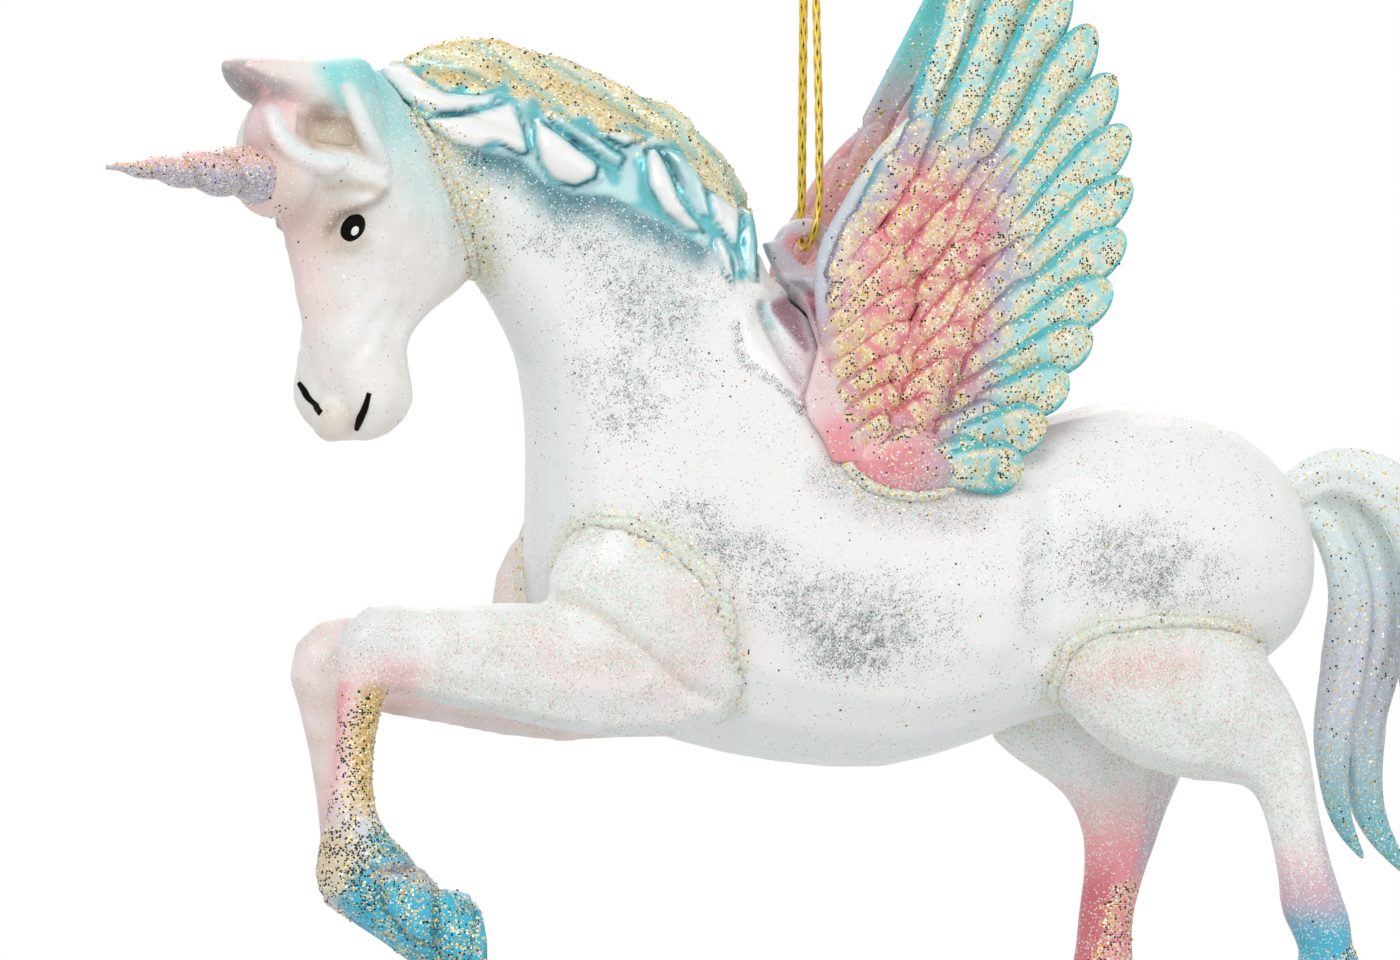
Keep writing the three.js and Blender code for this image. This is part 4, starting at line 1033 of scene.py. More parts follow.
class ORNAMENT_OT_head(bpy.types.Operator):
    """Make the painted head with its eyes"""

    bl_idname = "ornament.head"
    bl_label = "Head"

    def execute(self, context):
        bm = self.shape()
        skin = BVHTree.FromBMesh(bm)
        piece = make_piece(bm, "painted_head", painted("face paint", 0.42, 0.2), ["head"])
        self.colours(piece)
        black = plain("eye black", 0.3 * colour("ink"), 0.6, 0.08)
        white = plain("eye light", colour("pearl"), 0.3)
        place, out = self.spot_on(skin, *EYE_SPOT)
        for side, label in ((1, "left"), (-1, "right")):
            if side < 0:
                place = place - 2 * HEAD_LEFT * (place - HEAD_ORIGIN).dot(HEAD_LEFT)
                out = out - 2 * HEAD_LEFT * out.dot(HEAD_LEFT)
            up = (Vector((0, 0, 1)) - out * out.z).normalized()
            axes = Matrix((up.cross(out), up, out)).transposed() @ Matrix.Rotation(-0.5 * side, 3, "Z")
            radius = sizes().eye_radius
            bm = bmesh.new()
            ball(bm, place - 0.3 * MM * out, (0.8 * radius, radius, 0.5 * radius), axes)
            make_piece(bm, f"eye_{label}", black)
            bm = bmesh.new()
            shine = place + 0.55 * MM * out - 0.2 * MM * up
            ball(bm, shine, (0.26 * radius, 0.33 * radius, 0.14 * radius), axes, 12, 8)
            make_piece(bm, f"eye_light_{label}", white)
        bm = bmesh.new()
        for line in NOSTRILS:
            path = spline([self.spot_on(skin, u, v)[0] for u, v, _ in line], NOSTRIL_POINTS)
            tube(bm, path, even_radii([radius for *_, radius in line], NOSTRIL_POINTS), 8)
        make_piece(bm, "nostrils", black)
        return {"FINISHED"}

    def shape(self):
        """The cast head with forelock, brow, ears, lids and lip."""
        bm = copy_of("head")
        ends = bmesh.ops.bisect_plane(
            bm,
            geom=[*bm.verts, *bm.edges, *bm.faces],
            plane_co=on_head(HEAD_CUT, 0, 0),
            plane_no=HEAD_FORWARD,
            clear_outer=True,
        )["geom_cut"]
        rim = [part for part in ends if isinstance(part, bmesh.types.BMEdge)]
        bmesh.ops.holes_fill(bm, edges=rim, sides=0)
        turned = Matrix((HEAD_FORWARD, HEAD_LEFT, Vector((0, 0, 1)))).transposed()
        for place, radii in HEAD_OVALS:
            ball(bm, on_head(*place), [r * MM for r in radii], turned)
        for side in (1, -1):
            for order, part in enumerate(EAR_PARTS):
                back = 1.8 if side < 0 and order else 0
                spots = [on_face(u, v, left) for u, v, left, _ in part]
                path = spline([on_head(f - back, side * left, up) for f, left, up in spots], EAR_POINTS)
                tube(bm, path, even_radii([radius for *_, radius in part], EAR_POINTS), 14)
        bm = fuse(bm, sizes().fine_grain, 3)
        points = points_of(bm)
        spots = photo_spot(left_face(points))
        amounts = 0.4 * near_nodes(points, 0.1, 1.4, "neck_bead") + relief(spots, FACE_RELIEF)
        amounts -= 1.1 * ease(inside(spots, EAR_HOLLOW), 0, 8)
        amounts -= 0.5 * blob(spots, (356, 230), (22, 18), 0.5)
        push(bm, amounts)
        return bm

    def colours(self, piece):
        """Warm white with pink in front, blue green at the poll and sand inside the ears."""
        paint = Paint(piece, "pearl", left_face)
        spots = paint.spots
        uneven = ragged(paint.points, 3.0)
        local = (paint.points - np.array(HEAD_ORIGIN)) / MM
        forward = local @ np.array(HEAD_FORWARD)
        aside = local @ np.array(HEAD_LEFT)
        left = np.abs(aside)
        paint.coat("beige", 0.16 + 0.2 * uneven)
        paint.coat("petal", 0.75 * ease(forward, -9, -3) * ease(-left, -5.5, -2))
        paint.strokes(POLL_STROKES)
        paint.coat("beige", 0.85 * ease(inside(spots, EAR_HOLLOW) + 3 * uneven, -6, 6))
        paint.coat("brown", 0.55 * blob(spots, (328, 119), (12, 11), 0.7))
        paint.strokes(FRONT_STROKES)
        for part in EAR_PARTS[1:]:
            rim = [(u, v) for u, v, _, _ in part]
            inner = [(u + 6, v - 2) for u, v in rim]
            paint.strokes([("pearl", rim, 11, 0.9, 5), ("mist", inner, 4, 0.6, 5)])
        # Painted shade: grey on the undersides of the ear tips and on the far ear.
        tip = ease(forward, 1, 4) * ease(-paint.normals[:, 2], 0.1, 0.6)
        paint.coat("mirror", 0.6 * tip * ease(local[:, 2], 16, 18))
        paint.coat("mirror", 0.6 * ease(-aside, 0.2, 1.4) * ease(local[:, 2], 15, 17) * ease(forward, 0, 2))
        # Painted shade round the eye: beige over the socket, then brown and beige lines in its creases.
        paint.coat("beige", 0.65 * blob(spots, (338, 232), (30, 26), 0.7))
        paint.strokes(EYE_STROKES)
        paint.coat("beige", 0.45 * blob(photo_spot(paint.points), (338, 424), (22, 18), 0.5))
        paint.strokes(CHEEK_STROKES)
        paint.sprinkle("frost", 0.1 + 0.25 * stroke(spots, [(404, 122), (450, 165), (470, 230)], 40, 30))
        paint.sprinkles(1, fleck=0.5, gold=0.002)
        paint.sprinkle("gold", 0.12 * stroke(spots, [(276, 200), (286, 222)], 14, 12))
        seam = near_nodes(paint.points, 0.4, 1.8, "neck_bead") * np.clip(0.8 + 0.9 * uneven, 0, 1)
        paint.coat("beige", 0.5 * seam)
        paint.sprinkles(seam, gold=0.4, frost=0.4)
        paint.shares["fleck"] = np.where(seam > 0.1, 0.12, paint.shares["fleck"])
        paint.store()

    def spot_on(self, skin, u, v):
        """The point of a surface, and its outward direction, behind a photo point."""
        aside = ACROSS * (u - EYELET_U) * PIXEL * MM
        up = Vector((0, 0, (EYELET_V - v) * PIXEL * MM))
        place, out, _, _ = skin.ray_cast(at(0, 0, 0) + aside + up - VIEW, VIEW)
        return place, out


HORN_FORWARD = 1.4
HORN_UP = 8.7
HORN_SEAT = 2.5  # millimetres inside the brow
HORN_LENGTH = 31.5
HORN_RADIUS = 3.7
HORN_TURNS = 4.5
HORN_STEPS = 130
HORN_SIDES = 28


class ORNAMENT_OT_horn(bpy.types.Operator):
    """Wind the horn"""

    bl_idname = "ornament.horn"
    bl_label = "Horn"

    def execute(self, context):
        bm = bmesh.new()
        rings = []
        for k in range(HORN_STEPS + 1):
            share = k / HORN_STEPS
            reach = HORN_LENGTH * share - HORN_SEAT
            radius = HORN_RADIUS * (1 - 0.94 * share**1.3)
            ring = []
            for s in range(HORN_SIDES):
                turn = 2 * math.pi * s / HORN_SIDES
                wave = math.cos(turn - 2 * math.pi * HORN_TURNS * share)
                out = radius + 0.28 * (1 - 0.7 * share) * (wave - 0.8 * max(0.0, -wave) ** 6)
                up = HORN_UP + 0.02 * reach + out * math.sin(turn)
                ring.append(on_head(HORN_FORWARD + reach, out * math.cos(turn), up))
            rings.append(ring)
        wrap(bm, rings)
        piece = make_piece(bm, "wound_horn", painted("horn paint", 0.36, 0.3), ["horn"])
        paint = Paint(piece, "lilac")
        # The colour follows which way the surface faces: pale pink on the upper side is painted light, and
        # lilac with silver and black grains on the underside is painted shade and reflection.
        top = ease(paint.normals[:, 2] + 0.3 * ragged(paint.points, 2.5), -0.1, 0.5)
        paint.coats(top, petal=0.7, blush=0.35)
        local = (paint.points - np.array(HEAD_ORIGIN)) / MM
        turn = np.arctan2(local[:, 2] - HORN_UP, local @ np.array(HEAD_LEFT))
        share = (local @ np.array(HEAD_FORWARD) - HORN_FORWARD + HORN_SEAT) / HORN_LENGTH
        # Painted shade: brown in the spiral groove.
        groove = ease(-np.cos(turn - 2 * math.pi * HORN_TURNS * share), 0.72, 0.98)
        paint.coat("brown", 0.5 * groove)
        paint.sprinkle("frost", 0.3)
        paint.sprinkle("gold", 0.3 * top + 0.15)
        paint.sprinkle("silver", 0.25 * (1 - top))
        paint.sprinkle("fleck", 0.1 + 0.25 * (1 - top))
        paint.store()
        return {"FINISHED"}


SADDLE_STROKES = [
    ("petal", [(812, 352), (818, 392), (824, 424)], 34, 0.6, 16),
    ("rose", [(812, 298), (824, 330), (834, 364)], 10, 0.75, 8),
    ("blush", [(795, 243), (812, 256)], 16, 0.8, 10),
    ("blush", [(840, 440), (848, 478)], 34, 0.9, 22),
]


class ORNAMENT_OT_saddle(bpy.types.Operator):
    """Make the saddle with its eyelet"""

    bl_idname = "ornament.saddle"
    bl_label = "Saddle"

    def execute(self, context):
        bm = fuse(copy_of("wing_saddle"), sizes().saddle_grain, 5)
        coat = painted("saddle paint", 0.45, 0.15)
        piece = make_piece(bm, "painted_saddle", coat, ["wing_saddle"])
        paint = Paint(piece, "lilac", left_side)
        paint.coat("pearl", 0.35)
        paint.coat("petal", 0.45 * ease(ragged(paint.points, 5.0), -0.2, 0.3))
        paint.strokes(SADDLE_STROKES)
        paint.sprinkles(1, frost=0.12, gold=0.05, fleck=0.3)
        paint.store()
        return {"FINISHED"}


WING_ARM = [
    (3, -24), (1, -18), (-1, -9.5), (-1.1, -1), (1.7, 5.1), (5.4, 11.2), (10.4, 16.6), (14, 21.4),
    (17, 29.5), (19.2, 37), (20.8, 41.5),
]
# Height in the wing, and how far the wing bows inwards there
WING_BOW = [(-28, 0.5), (-22, 2.5), (-14, 5.1), (0, 5.7), (16, 3.5), (30, 5.9), (44, 9.5)]
WING_OUT = 15.5
WING_PIVOT = Vector((3, -20))
ARM_POINTS = 40
PRIMARY_ROOTS = [
    (9.2, 12.5), (13.8, 12.4), (18.6, 7.6), (21.2, 0.4), (21.8, -6.3), (19.9, -13.1), (15.6, -20.7),
    (11, -26),
]
PRIMARY_TIPS = [
    (22.2, 42.5), (27.8, 36.5), (33.4, 26.5), (36.8, 16), (37.6, 6), (36, -3), (31, -13.5), (22.5, -26),
]
COVERT_ROOTS = [
    (5.4, 4.6), (12, 1.7), (16.3, -4.1), (17.4, -10.4), (15.5, -16.2), (11.7, -22.3), (8.8, -26),
]
COVERT_TIPS = [(12.6, 16.6), (20.2, 13), (26, 6), (27.4, -2), (25.4, -9.5), (22.5, -17), (17.5, -24.5)]
MIDDLE_ROOTS = [(2.7, 2.5), (7.7, -0.4), (10.4, -7.4), (9.5, -14.2), (6.2, -20.2), (3.3, -25)]
MIDDLE_TIPS = [(8.5, 11.6), (15.1, 8), (18.8, 0), (18, -8), (15, -15.5), (10, -23)]
INNER_ROOTS = [(-1.1, -4.7), (-1.8, -9.6), (-1.9, -14.6), (-1.5, -19), (-0.4, -23.6)]
INNER_TIPS = [(4.4, 5.3), (9.3, 0.5), (10.6, -6.5), (9.4, -13.5), (6.4, -21)]
# Number of feathers, half their width, their layer, and lines through their roots and tips
FEATHER_ROWS = [
    (13, 3.4, 0, PRIMARY_ROOTS, PRIMARY_TIPS),
    (10, 3.1, 1, COVERT_ROOTS, COVERT_TIPS),
    (9, 2.8, 2, MIDDLE_ROOTS, MIDDLE_TIPS),
    (8, 2.5, 3, INNER_ROOTS, INNER_TIPS),
    (3, 5, -0.8, [(4, -18), (7, -20), (10, -22)], [(21.5, 27), (27, 14), (25, 0)]),
]
FACE_TONES = ("blush", "lilac", "mist")
# Painted shade in the grooves between feathers, for the pink, lilac and blue green zones.
GROOVE_SHADE_TONES = ("rose", "dusk", "teal")
FEATHER_ROLL = math.radians(15)
FEATHER_STEPS = 40
FEATHER_SIDES = 20
FEATHER_TURNS = [2 * math.pi * s / FEATHER_SIDES for s in range(FEATHER_SIDES)]
ARM_ROW = 4
PAD_ROW = 5
NOTES = ("row", "edge", "along")


class ORNAMENT_OT_wings(bpy.types.Operator):
    """Lay the wings from rows of feathers"""

    bl_idname = "ornament.wings"
    bl_label = "Wings"

    def execute(self, context):
        coat = painted("wing paint", 0.45, 0.15)
        for name, side, lean in (("wing_left", 1, 0.0), ("wing_right", -1, 5.0)):
            piece = self.wing(name, side, lean, coat)
            self.colours(piece, side)
        return {"FINISHED"}

    def place(self, spot, side, lean):
        """A point of the bowed wing from its place in side view."""
        heights, insets = zip(*WING_BOW)
        out = WING_OUT - float(np.interp(spot.y, heights, insets))
        turned = Matrix.Rotation(-math.radians(lean), 2) @ (Vector(spot).to_2d() - WING_PIVOT)
        return at(turned.x + WING_PIVOT.x, -side * out, turned.y + WING_PIVOT.y)

    def wing(self, name, side, lean, material):
        """The shape of one wing, with notes on its vertices for the paint."""
        bm = bmesh.new()
        notes = {note: bm.verts.layers.float.new(note) for note in NOTES}
        for row in FEATHER_ROWS:
            self.feathers(bm, row, side, lean, notes)
        arm = [self.place(p, side, lean) for p in spline([(x, z, 0) for x, z in WING_ARM], ARM_POINTS)]
        last = ARM_POINTS - 1
        ends = [min(1, 0.15 + 0.12 * k, 0.2 + 0.2 * (last - k)) for k in range(ARM_POINTS)]
        radii = [MM * (0.5 + 0.85 * (1 - k / last) ** 1.2) * end for k, end in enumerate(ends)]
        for k, ring in enumerate(tube(bm, arm, radii, 14)):
            for vert in ring:
                vert[notes["row"]] = ARM_ROW
                vert[notes["along"]] = k / last
        for vert in ball(bm, at(7.4, -side * 12.2, -25.5), (9 * MM, 4 * MM, 4.3 * MM)):
            vert[notes["row"]] = PAD_ROW
        return make_piece(bm, f"feathered_{name}", material, [name])

    def feathers(self, bm, row, side, lean, notes):
        """One row of overlapping feathers, each rolled a little so that it lies on the next."""
        count, half, layer, roots, tips = row
        roots = spline([(x, z, 0) for x, z in roots], count)
        tips = spline([(x, z, 0) for x, z in tips], count)
        shares = [math.sin(0.5 * math.pi * step / FEATHER_STEPS) for step in range(FEATHER_STEPS + 1)]
        for root, tip in zip(roots, tips):
            rings = []
            for share in shares:
                spot = root.lerp(tip, share)
                centre = self.place(spot, side, lean)
                ahead = (self.place(spot + 0.01 * (tip - root), side, lean) - centre).normalized()
                rings.append(self.section(centre, ahead, share, half, layer))
            for ring, share in zip(wrap(bm, rings), shares):
                for turn, vert in zip(FEATHER_TURNS, ring):
                    vert[notes["row"]] = layer
                    vert[notes["along"]] = share
                    vert[notes["edge"]] = abs(math.cos(turn))

    def section(self, centre, ahead, share, half, layer):
        """The outline of a feather across its shaft, at a share of its length."""
        flat = Vector((0, 1, 0)).cross(ahead).normalized()
        face = ahead.cross(flat)
        across = math.cos(FEATHER_ROLL)
        over = math.sin(FEATHER_ROLL)
        flat, face = flat * across + face * over, face * across - flat * over
        wide = 0.62 + 0.54 * share
        if share > 0.7:
            wide = math.sqrt(max(0.004, 1 - ((share - 0.7) / 0.301) ** 2))
        wide *= min(1, 0.2 + 7 * share)
        thick = (0.8 + 0.42 * layer) * (1 - 0.45 * share)
        thick *= min(1, 0.25 + 6 * (1 - share), 0.3 + 7 * share)
        ring = []
        for turn in FEATHER_TURNS:
            aside = math.copysign(abs(math.cos(turn)) ** 0.8, math.cos(turn))
            crown = math.copysign(abs(math.sin(turn)) ** 0.36, math.sin(turn))
            barb = 0.06 * math.sin(2 * math.pi * (8 * share + 0.7 * aside)) * abs(math.sin(turn))
            ring.append(centre + MM * (half * wide * aside * flat + (thick + barb) * crown * face))
        return ring

    def colours(self, piece, side):
        """Pink by the root, then lilac, white and blue green, with painted shade in the grooves and gold on
        the ridges.
        """
        paint = Paint(piece, "pearl", left_side)
        notes = {}
        for name in NOTES:
            notes[name] = np.zeros(len(paint.points))
            piece.data.attributes[name].data.foreach_get("value", notes[name])
            piece.data.attributes.remove(piece.data.attributes[name])
        u, v = paint.spots.T
        clumps = ragged(paint.points, 1.5)
        drift = ragged(paint.points, 6.0)
        reach = np.hypot((u - 908 + 0.22 * (v - 310)) / 84, (v - 310) / 150) + 0.25 * drift
        pink = fade(reach, 0.72, 1.15)
        grey = fade(reach, 1.1, 1.5) * (1 - pink)
        outer = 1 - pink - grey
        shares = np.column_stack([pink, grey, outer])
        ridge = shares @ np.array([colour(name) for name in FACE_TONES])
        groove = shares @ np.array([colour(name) for name in GROOVE_SHADE_TONES])
        # Painted shade along each feather's edge, where it lies over the next, and at the tips.
        dark = ease(notes["edge"] + 0.2 * outer, 0.76, 0.98)
        paint.colours = ridge * (1 - dark)[:, None] + groove * dark[:, None]
        feather = notes["row"] < ARM_ROW - 0.5
        tip = ease(notes["along"], 0.8, 1.0) * feather * outer
        paint.coat("aqua", 0.8 * tip)
        paint.coat("teal", 0.5 * tip * dark)
        paint.coat("rose", 0.3 * feather * pink * ease(u, 880, 920))
        paint.coat("lilac", 0.4 * feather * pink * fade(u, 848, 880))
        paint.coat("lilac", 0.5 * feather * ease(v, 380, 440) * ease(u, 960, 1010) * (1 - dark))
        paint.coat("aqua", 0.55 * outer * feather * (1 - dark) * ease(-clumps, -0.1, 0.2))
        arm = np.abs(notes["row"] - ARM_ROW) < 0.5
        paint.coats(arm, lilac=0.85, mist=0.4)
        paint.coat("mist", arm * ease(notes["along"], 0.45, 0.7))
        paint.coat("rose", 0.7 * arm * fade(notes["along"], 0.12, 0.3))
        pad = np.abs(notes["row"] - PAD_ROW) < 0.5
        edge = v - np.interp(u, [830, 945], [418, 482])
        low = np.clip(pad + feather * ease(edge, -4, 10) * fade(u, 950, 985), 0, 1)
        paint.coat("blush", 0.9 * low)
        # Painted highlight: paler pink towards the top of the pad, broken up by slow noise.
        paint.coat("petal", 0.6 * low * ease(drift - 0.02 * (v - 450), -0.1, 0.5))
        paint.coat("rose", 0.35 * low * ease(clumps, 0.05, 0.35))
        paint.coat("lilac", 0.6 * low * ease(u, 900, 945))
        paint.coat("teal", 0.8 * ease(v, 450, 475) * ease(u, 935, 975))
        skirt = fade(u, 824, 842) * ease(v - 38 * arm, 300, 340) * fade(v, 424, 456)
        paint.coats(skirt, petal=1, lilac=0.4, beige=0.25)
        thick = 0.62 * pink + 0.6 * grey + 0.95 * outer + 0.7 * blob(paint.spots, (862, 375), (46, 80), 0.5)
        thick += 0.5 * blob(paint.spots, (915, 405), (52, 36), 0.5)
        laid = feather * (1 - low) + 0.8 * arm * ease(notes["along"], 0.4, 0.55)
        sparkle = np.clip(thick * (0.75 + 2.6 * clumps), 0, 0.97) * (1 - 0.9 * dark) * laid * (1 - skirt)
        paint.coat("champagne", 0.6 * sparkle)
        paint.coat("gold", 0.35 * sparkle * blob(paint.spots, (856, 385), (38, 95), 0.6))
        paint.sprinkle("gold", sparkle + 0.05 * feather + 0.01 + 0.2 * pad * ease(-edge, -30, 0))
        paint.sprinkle("fleck", np.clip(0.17 + 0.7 * ragged(paint.points, 2.6), 0.04, 0.5))
        paint.sprinkle("frost", 0.1 + 0.5 * low * ease(v, 462, 492))
        if side < 0:
            self.inner_face(paint)
        paint.store()

    def inner_face(self, paint):
        """The far wing's inner face is smoother: pink, then lilac, then bright blue green at the top."""
        spots = photo_spot(paint.points)
        inner = ease(-paint.normals[:, 1], -0.1, 0.3)
        streaks = ragged(paint.points * np.array([2.0, 1.0, 0.35]), 1.2)
        height = spots[:, 1] + 0.5 * (spots[:, 0] - 880) + 22 * streaks
        paint.coats(inner, blush=0.9, petal=0.5)
        paint.coat("blush", 0.5 * inner * ease(streaks, 0.1, 0.4))
        paint.coats(inner * fade(height, 105, 150), lilac=1, pearl=0.25)
        paint.coat("aqua", inner * fade(height, 50, 110))
        paint.coat("azure", 0.75 * inner * fade(height, 0, 80) * ease(streaks, -0.3, 0.3))
        streak = stroke(spots, [(875, 95), (886, 120), (870, 160), (830, 200)], 14, 14)
        paint.shares["gold"] *= 1 - inner * (0.85 - 0.6 * streak)


FOOT_PANELS = [
    [(368, 858), (381, 848), (400, 846), (421, 862), (404, 866), (384, 868)],
    [(384, 868), (405, 865), (424, 868), (436, 876), (437, 944), (410, 932), (388, 905)],
    [(440, 884), (461, 883), (474, 892), (478, 914), (470, 965), (446, 965), (440, 945)],
]
FOOT_HEIGHTS = (0.55, 0.9, 0.5)
MUSCLE_RELIEF = [
    (-0.8, [(556, 594), (598, 612), (645, 649), (689, 688), (715, 700)], 6, 12),
    (0.5, [(470, 625), (560, 632), (640, 680)], 34, 34),
    (0.45, [(640, 575), (690, 610), (715, 655)], 44, 36),
]
FAR_SHIFT = (-12, -20)  # pixels that bring the far foreleg onto the near one
LEG_NODES = ("foreleg_left", "foreleg_right", "hindleg_left", "hindleg_right")


class ORNAMENT_OT_legs(bpy.types.Operator):
    """Make the four painted legs"""

    bl_idname = "ornament.legs"
    bl_label = "Legs"

    def execute(self, context):
        coat = painted("leg paint", 0.42, 0.2)
        for name in LEG_NODES:
            bm = fuse(copy_of(name), sizes().fine_grain, 6)
            points = points_of(bm)
            swell = 0.5 * near_nodes(points, 0.2, 1.4, f"{name}_bead")
            if name == "foreleg_left":
                swell += self.near_muscles(photo_spot(points))
            push(bm, swell)
            piece = make_piece(bm, f"painted_{name}", coat, [name])
            paint = Paint(piece, "pearl")
            uneven = ragged(paint.points, 3.0)
            paint.coat("shade", 0.3 + 0.5 * ease(-paint.normals[:, 2], 0.2, 0.9))
            paint.coat("beige", 0.14 + 0.3 * uneven)
            paint.sprinkle("frost", np.clip(0.65 + 0.8 * uneven, 0.2, 0.95))
            paint.sprinkle("fleck", 0.15)
            if name.startswith("foreleg"):
                self.foreleg(paint, uneven, name == "foreleg_left")
            else:
                self.hindleg(paint, uneven, name == "hindleg_left")
            glued = near_nodes(paint.points, 0.2, 2.2, f"{name}_bead") * np.clip(0.8 + uneven, 0, 1)
            paint.coats(glued, beige=0.35, leaf=0.15)
            paint.sprinkle("gold", 0.18 * glued)
            paint.shares["fleck"] *= 1 - 0.9 * ease(glued, 0.02, 0.2)
            paint.store()
        return {"FINISHED"}

    def near_muscles(self, spots):
        """The groove over the elbow, the tuft at the fetlock and the ledge over the hoof."""
        amounts = relief(spots, MUSCLE_RELIEF) + 0.35 * blob(spots, (365, 622), (26, 24), 0.6)
        for corners, height in zip(FOOT_PANELS, FOOT_HEIGHTS):
            amounts += cushion(spots, corners, height, 10, 0.4, 4)
        return amounts

    def foreleg(self, paint, uneven, near):
        """Pink behind the knee and down the cannon, then gold glitter over blue green to the hoof."""
        spots = paint.spots
        strength = 1.0
        if not near:
            spots = spots + np.array(FAR_SHIFT)
            strength = 0.35
            paint.coat("petal", 0.45)
            paint.coat("beige", 0.15 + 0.3 * uneven)
            paint.shares["frost"] *= 0.4
        paint.coat("lilac", 0.22 * blob(spots, (366, 626), (36, 32), 0.6))
        paint.coat("petal", 0.7 * strength * blob(spots, (398, 673), (40, 20), 0.7))
        paint.coat("blush", 0.35 * strength * blob(spots, (392, 676), (24, 16), 0.8))
        paint.coat("petal", 0.7 * stroke(spots, [(352, 680), (344, 740), (338, 790)], 36, 24))
        paint.coat("blush", 0.85 * strength * stroke(spots, [(342, 690), (334, 740), (320, 806)], 14, 16))
        paint.coat("brown", 0.75 * strength * stroke(spots, [(380, 696), (374, 740), (376, 790)], 16, 14))
        paint.coat("gold", 0.65 * strength * stroke(spots, [(376, 696), (368, 740), (372, 800)], 20, 14))
        foot = ease(spots[:, 1], 795, 815) * fade(spots[:, 0], 490, 510)
        down = 0.8 * (spots[:, 0] - 372) + 0.6 * (spots[:, 1] - 849) + 14 * uneven - 400 * (1 - foot)
        paint.coat("lilac", 0.45 * ease(spots[:, 1], 780, 815) * fade(spots[:, 0], 450, 480))
        paint.coat("mist", 0.5 * ease(down, -40, -10))
        paint.coat("azure", 0.95 * ease(down, -8, 10))
        paint.coat("deep", 0.5 * ease(down, 0, 20) * ease(uneven, 0.05, 0.3))
        # Painted shade: deep teal in the grooves round the panels of the foot.
        for corners in FOOT_PANELS:
            paint.coat("deep", 0.7 * fade(np.abs(inside(spots, corners)), 0.5, 4))
        paint.coat("lilac", 0.75 * stroke(spots, [(386, 868), (412, 866), (432, 876)], 10, 10))
        paint.coat("gold", 0.45 * strength * blob(spots, (334, 856), (28, 36), 0.6))
        if near:
            dusty = stroke(spots, [(500, 640), (600, 652), (690, 690)], 22, 26)
            dusty += stroke(spots, [(690, 596), (712, 640)], 30, 30)
            paint.coat("blush", 0.14 * dusty * (0.8 + uneven))
            paint.sprinkle("frost", 0.25 * dusty)
            paint.coat("beige", 0.6 * stroke(spots, [(560, 596), (598, 612), (645, 649), (689, 686)], 5, 8))
            flush = stroke(spots, [(690, 600), (705, 640), (670, 690), (560, 660)], 24, 30)
            paint.coat("petal", 0.4 * flush)
        leg = 1 - ease(spots[:, 0], 414, 426) * fade(spots[:, 1], 760, 800)
        paint.shares["frost"] *= 1 - 0.85 * ease(spots[:, 1], 655, 700) * leg
        front = (spots[:, 0] - np.interp(spots[:, 1], [690, 760, 800, 860], [366, 352, 352, 372])) / 20
        cannon = ease(spots[:, 1], 684, 698) * leg
        if not near:
            cannon = cannon * ease(spots[:, 1], 800, 830)
        clumps = ragged(paint.points, 1.4)
        thick = np.clip(0.8 + 0.75 * front, 0.1, 0.95) * (1 - 0.45 * ease(down, 10, 40))
        thick += 0.6 * blob(spots, (334, 860), (34, 40), 0.6)
        paint.sprinkle("gold", cannon * np.clip(thick + 0.9 * clumps, 0.03, 0.95))
        paint.sprinkle("fleck", cannon * np.clip(0.42 - 0.4 * front + 0.6 * uneven, 0.03, 0.55))

    def hindleg(self, paint, uneven, near):
        """Pearl glitter on the thigh, pink with lilac on the backs as painted shade, then gold glitter and
        a blue green hoof.
        """
        spots = paint.spots
        drop = spots[:, 1]
        if near:
            drop = drop - 60
            paint.coat("beige", 0.35 * blob(spots, (1130, 668), (56, 34), 0.8) * (0.8 + uneven))
            paint.coat("blush", 0.4 * stroke(spots, [(1095, 680), (1140, 668), (1183, 664)], 20, 30))
            paint.coat("pearl", 0.7 * stroke(spots, [(1119, 696), (1150, 714), (1183, 736)], 10, 12))
        behind = ease(paint.normals[:, 0], 0.1, 0.7)
        front = ease(-paint.normals[:, 0], -0.1, 0.6)
        paint.coat("shade", 0.6 * ease(drop, 740, 790))
        paint.coat("petal", 0.6 * ease(drop, 760, 810))
        low = ease(drop, 770, 870)
        paint.coat("blush", 0.9 * low)
        paint.coat("rose", 0.75 * ease(drop, 850, 900) * front)
        # Painted shade: lilac where the leg faces backwards.
        paint.coat("lilac", 0.9 * behind * ease(drop, 740, 790) * fade(drop, 850, 900))
        top = drop.max()
        paint.coat("lilac", 0.6 * ease(drop, top - 160, top - 115))
        paint.coat("azure", 0.9 * ease(drop, top - 120, top - 70))
        paint.shares["frost"] = np.clip(paint.shares["frost"] + 0.25, 0, 1) * (1 - 0.75 * low)
        gold = ease(drop + 20 * uneven, 880, 900) * ease(paint.normals[:, 0], -0.75, -0.2)
        paint.sprinkle("gold", gold * np.clip(0.75 + ragged(paint.points, 1.4), 0.2, 0.95))
        paint.sprinkle("fleck", 0.2 * gold)


# Points in side view, sway to the right and half width
TAIL_LOCKS = [
    ([(61, -30), (68, -26.5), (76, -30), (80.5, -40), (79, -52), (80.5, -62), (87, -69)], -1.4, 4.4),
    ([(61, -31), (67.5, -29.5), (73.5, -36), (75, -46), (73, -57), (74, -68), (79.5, -76)], 1.5, 4.2),
    ([(61, -32), (66, -32), (70, -40), (69.5, -50), (68, -60), (69, -68), (72.5, -74)], 0.1, 3.2),
]


TAIL_POINTS = 46
TAIL_STRANDS = 5


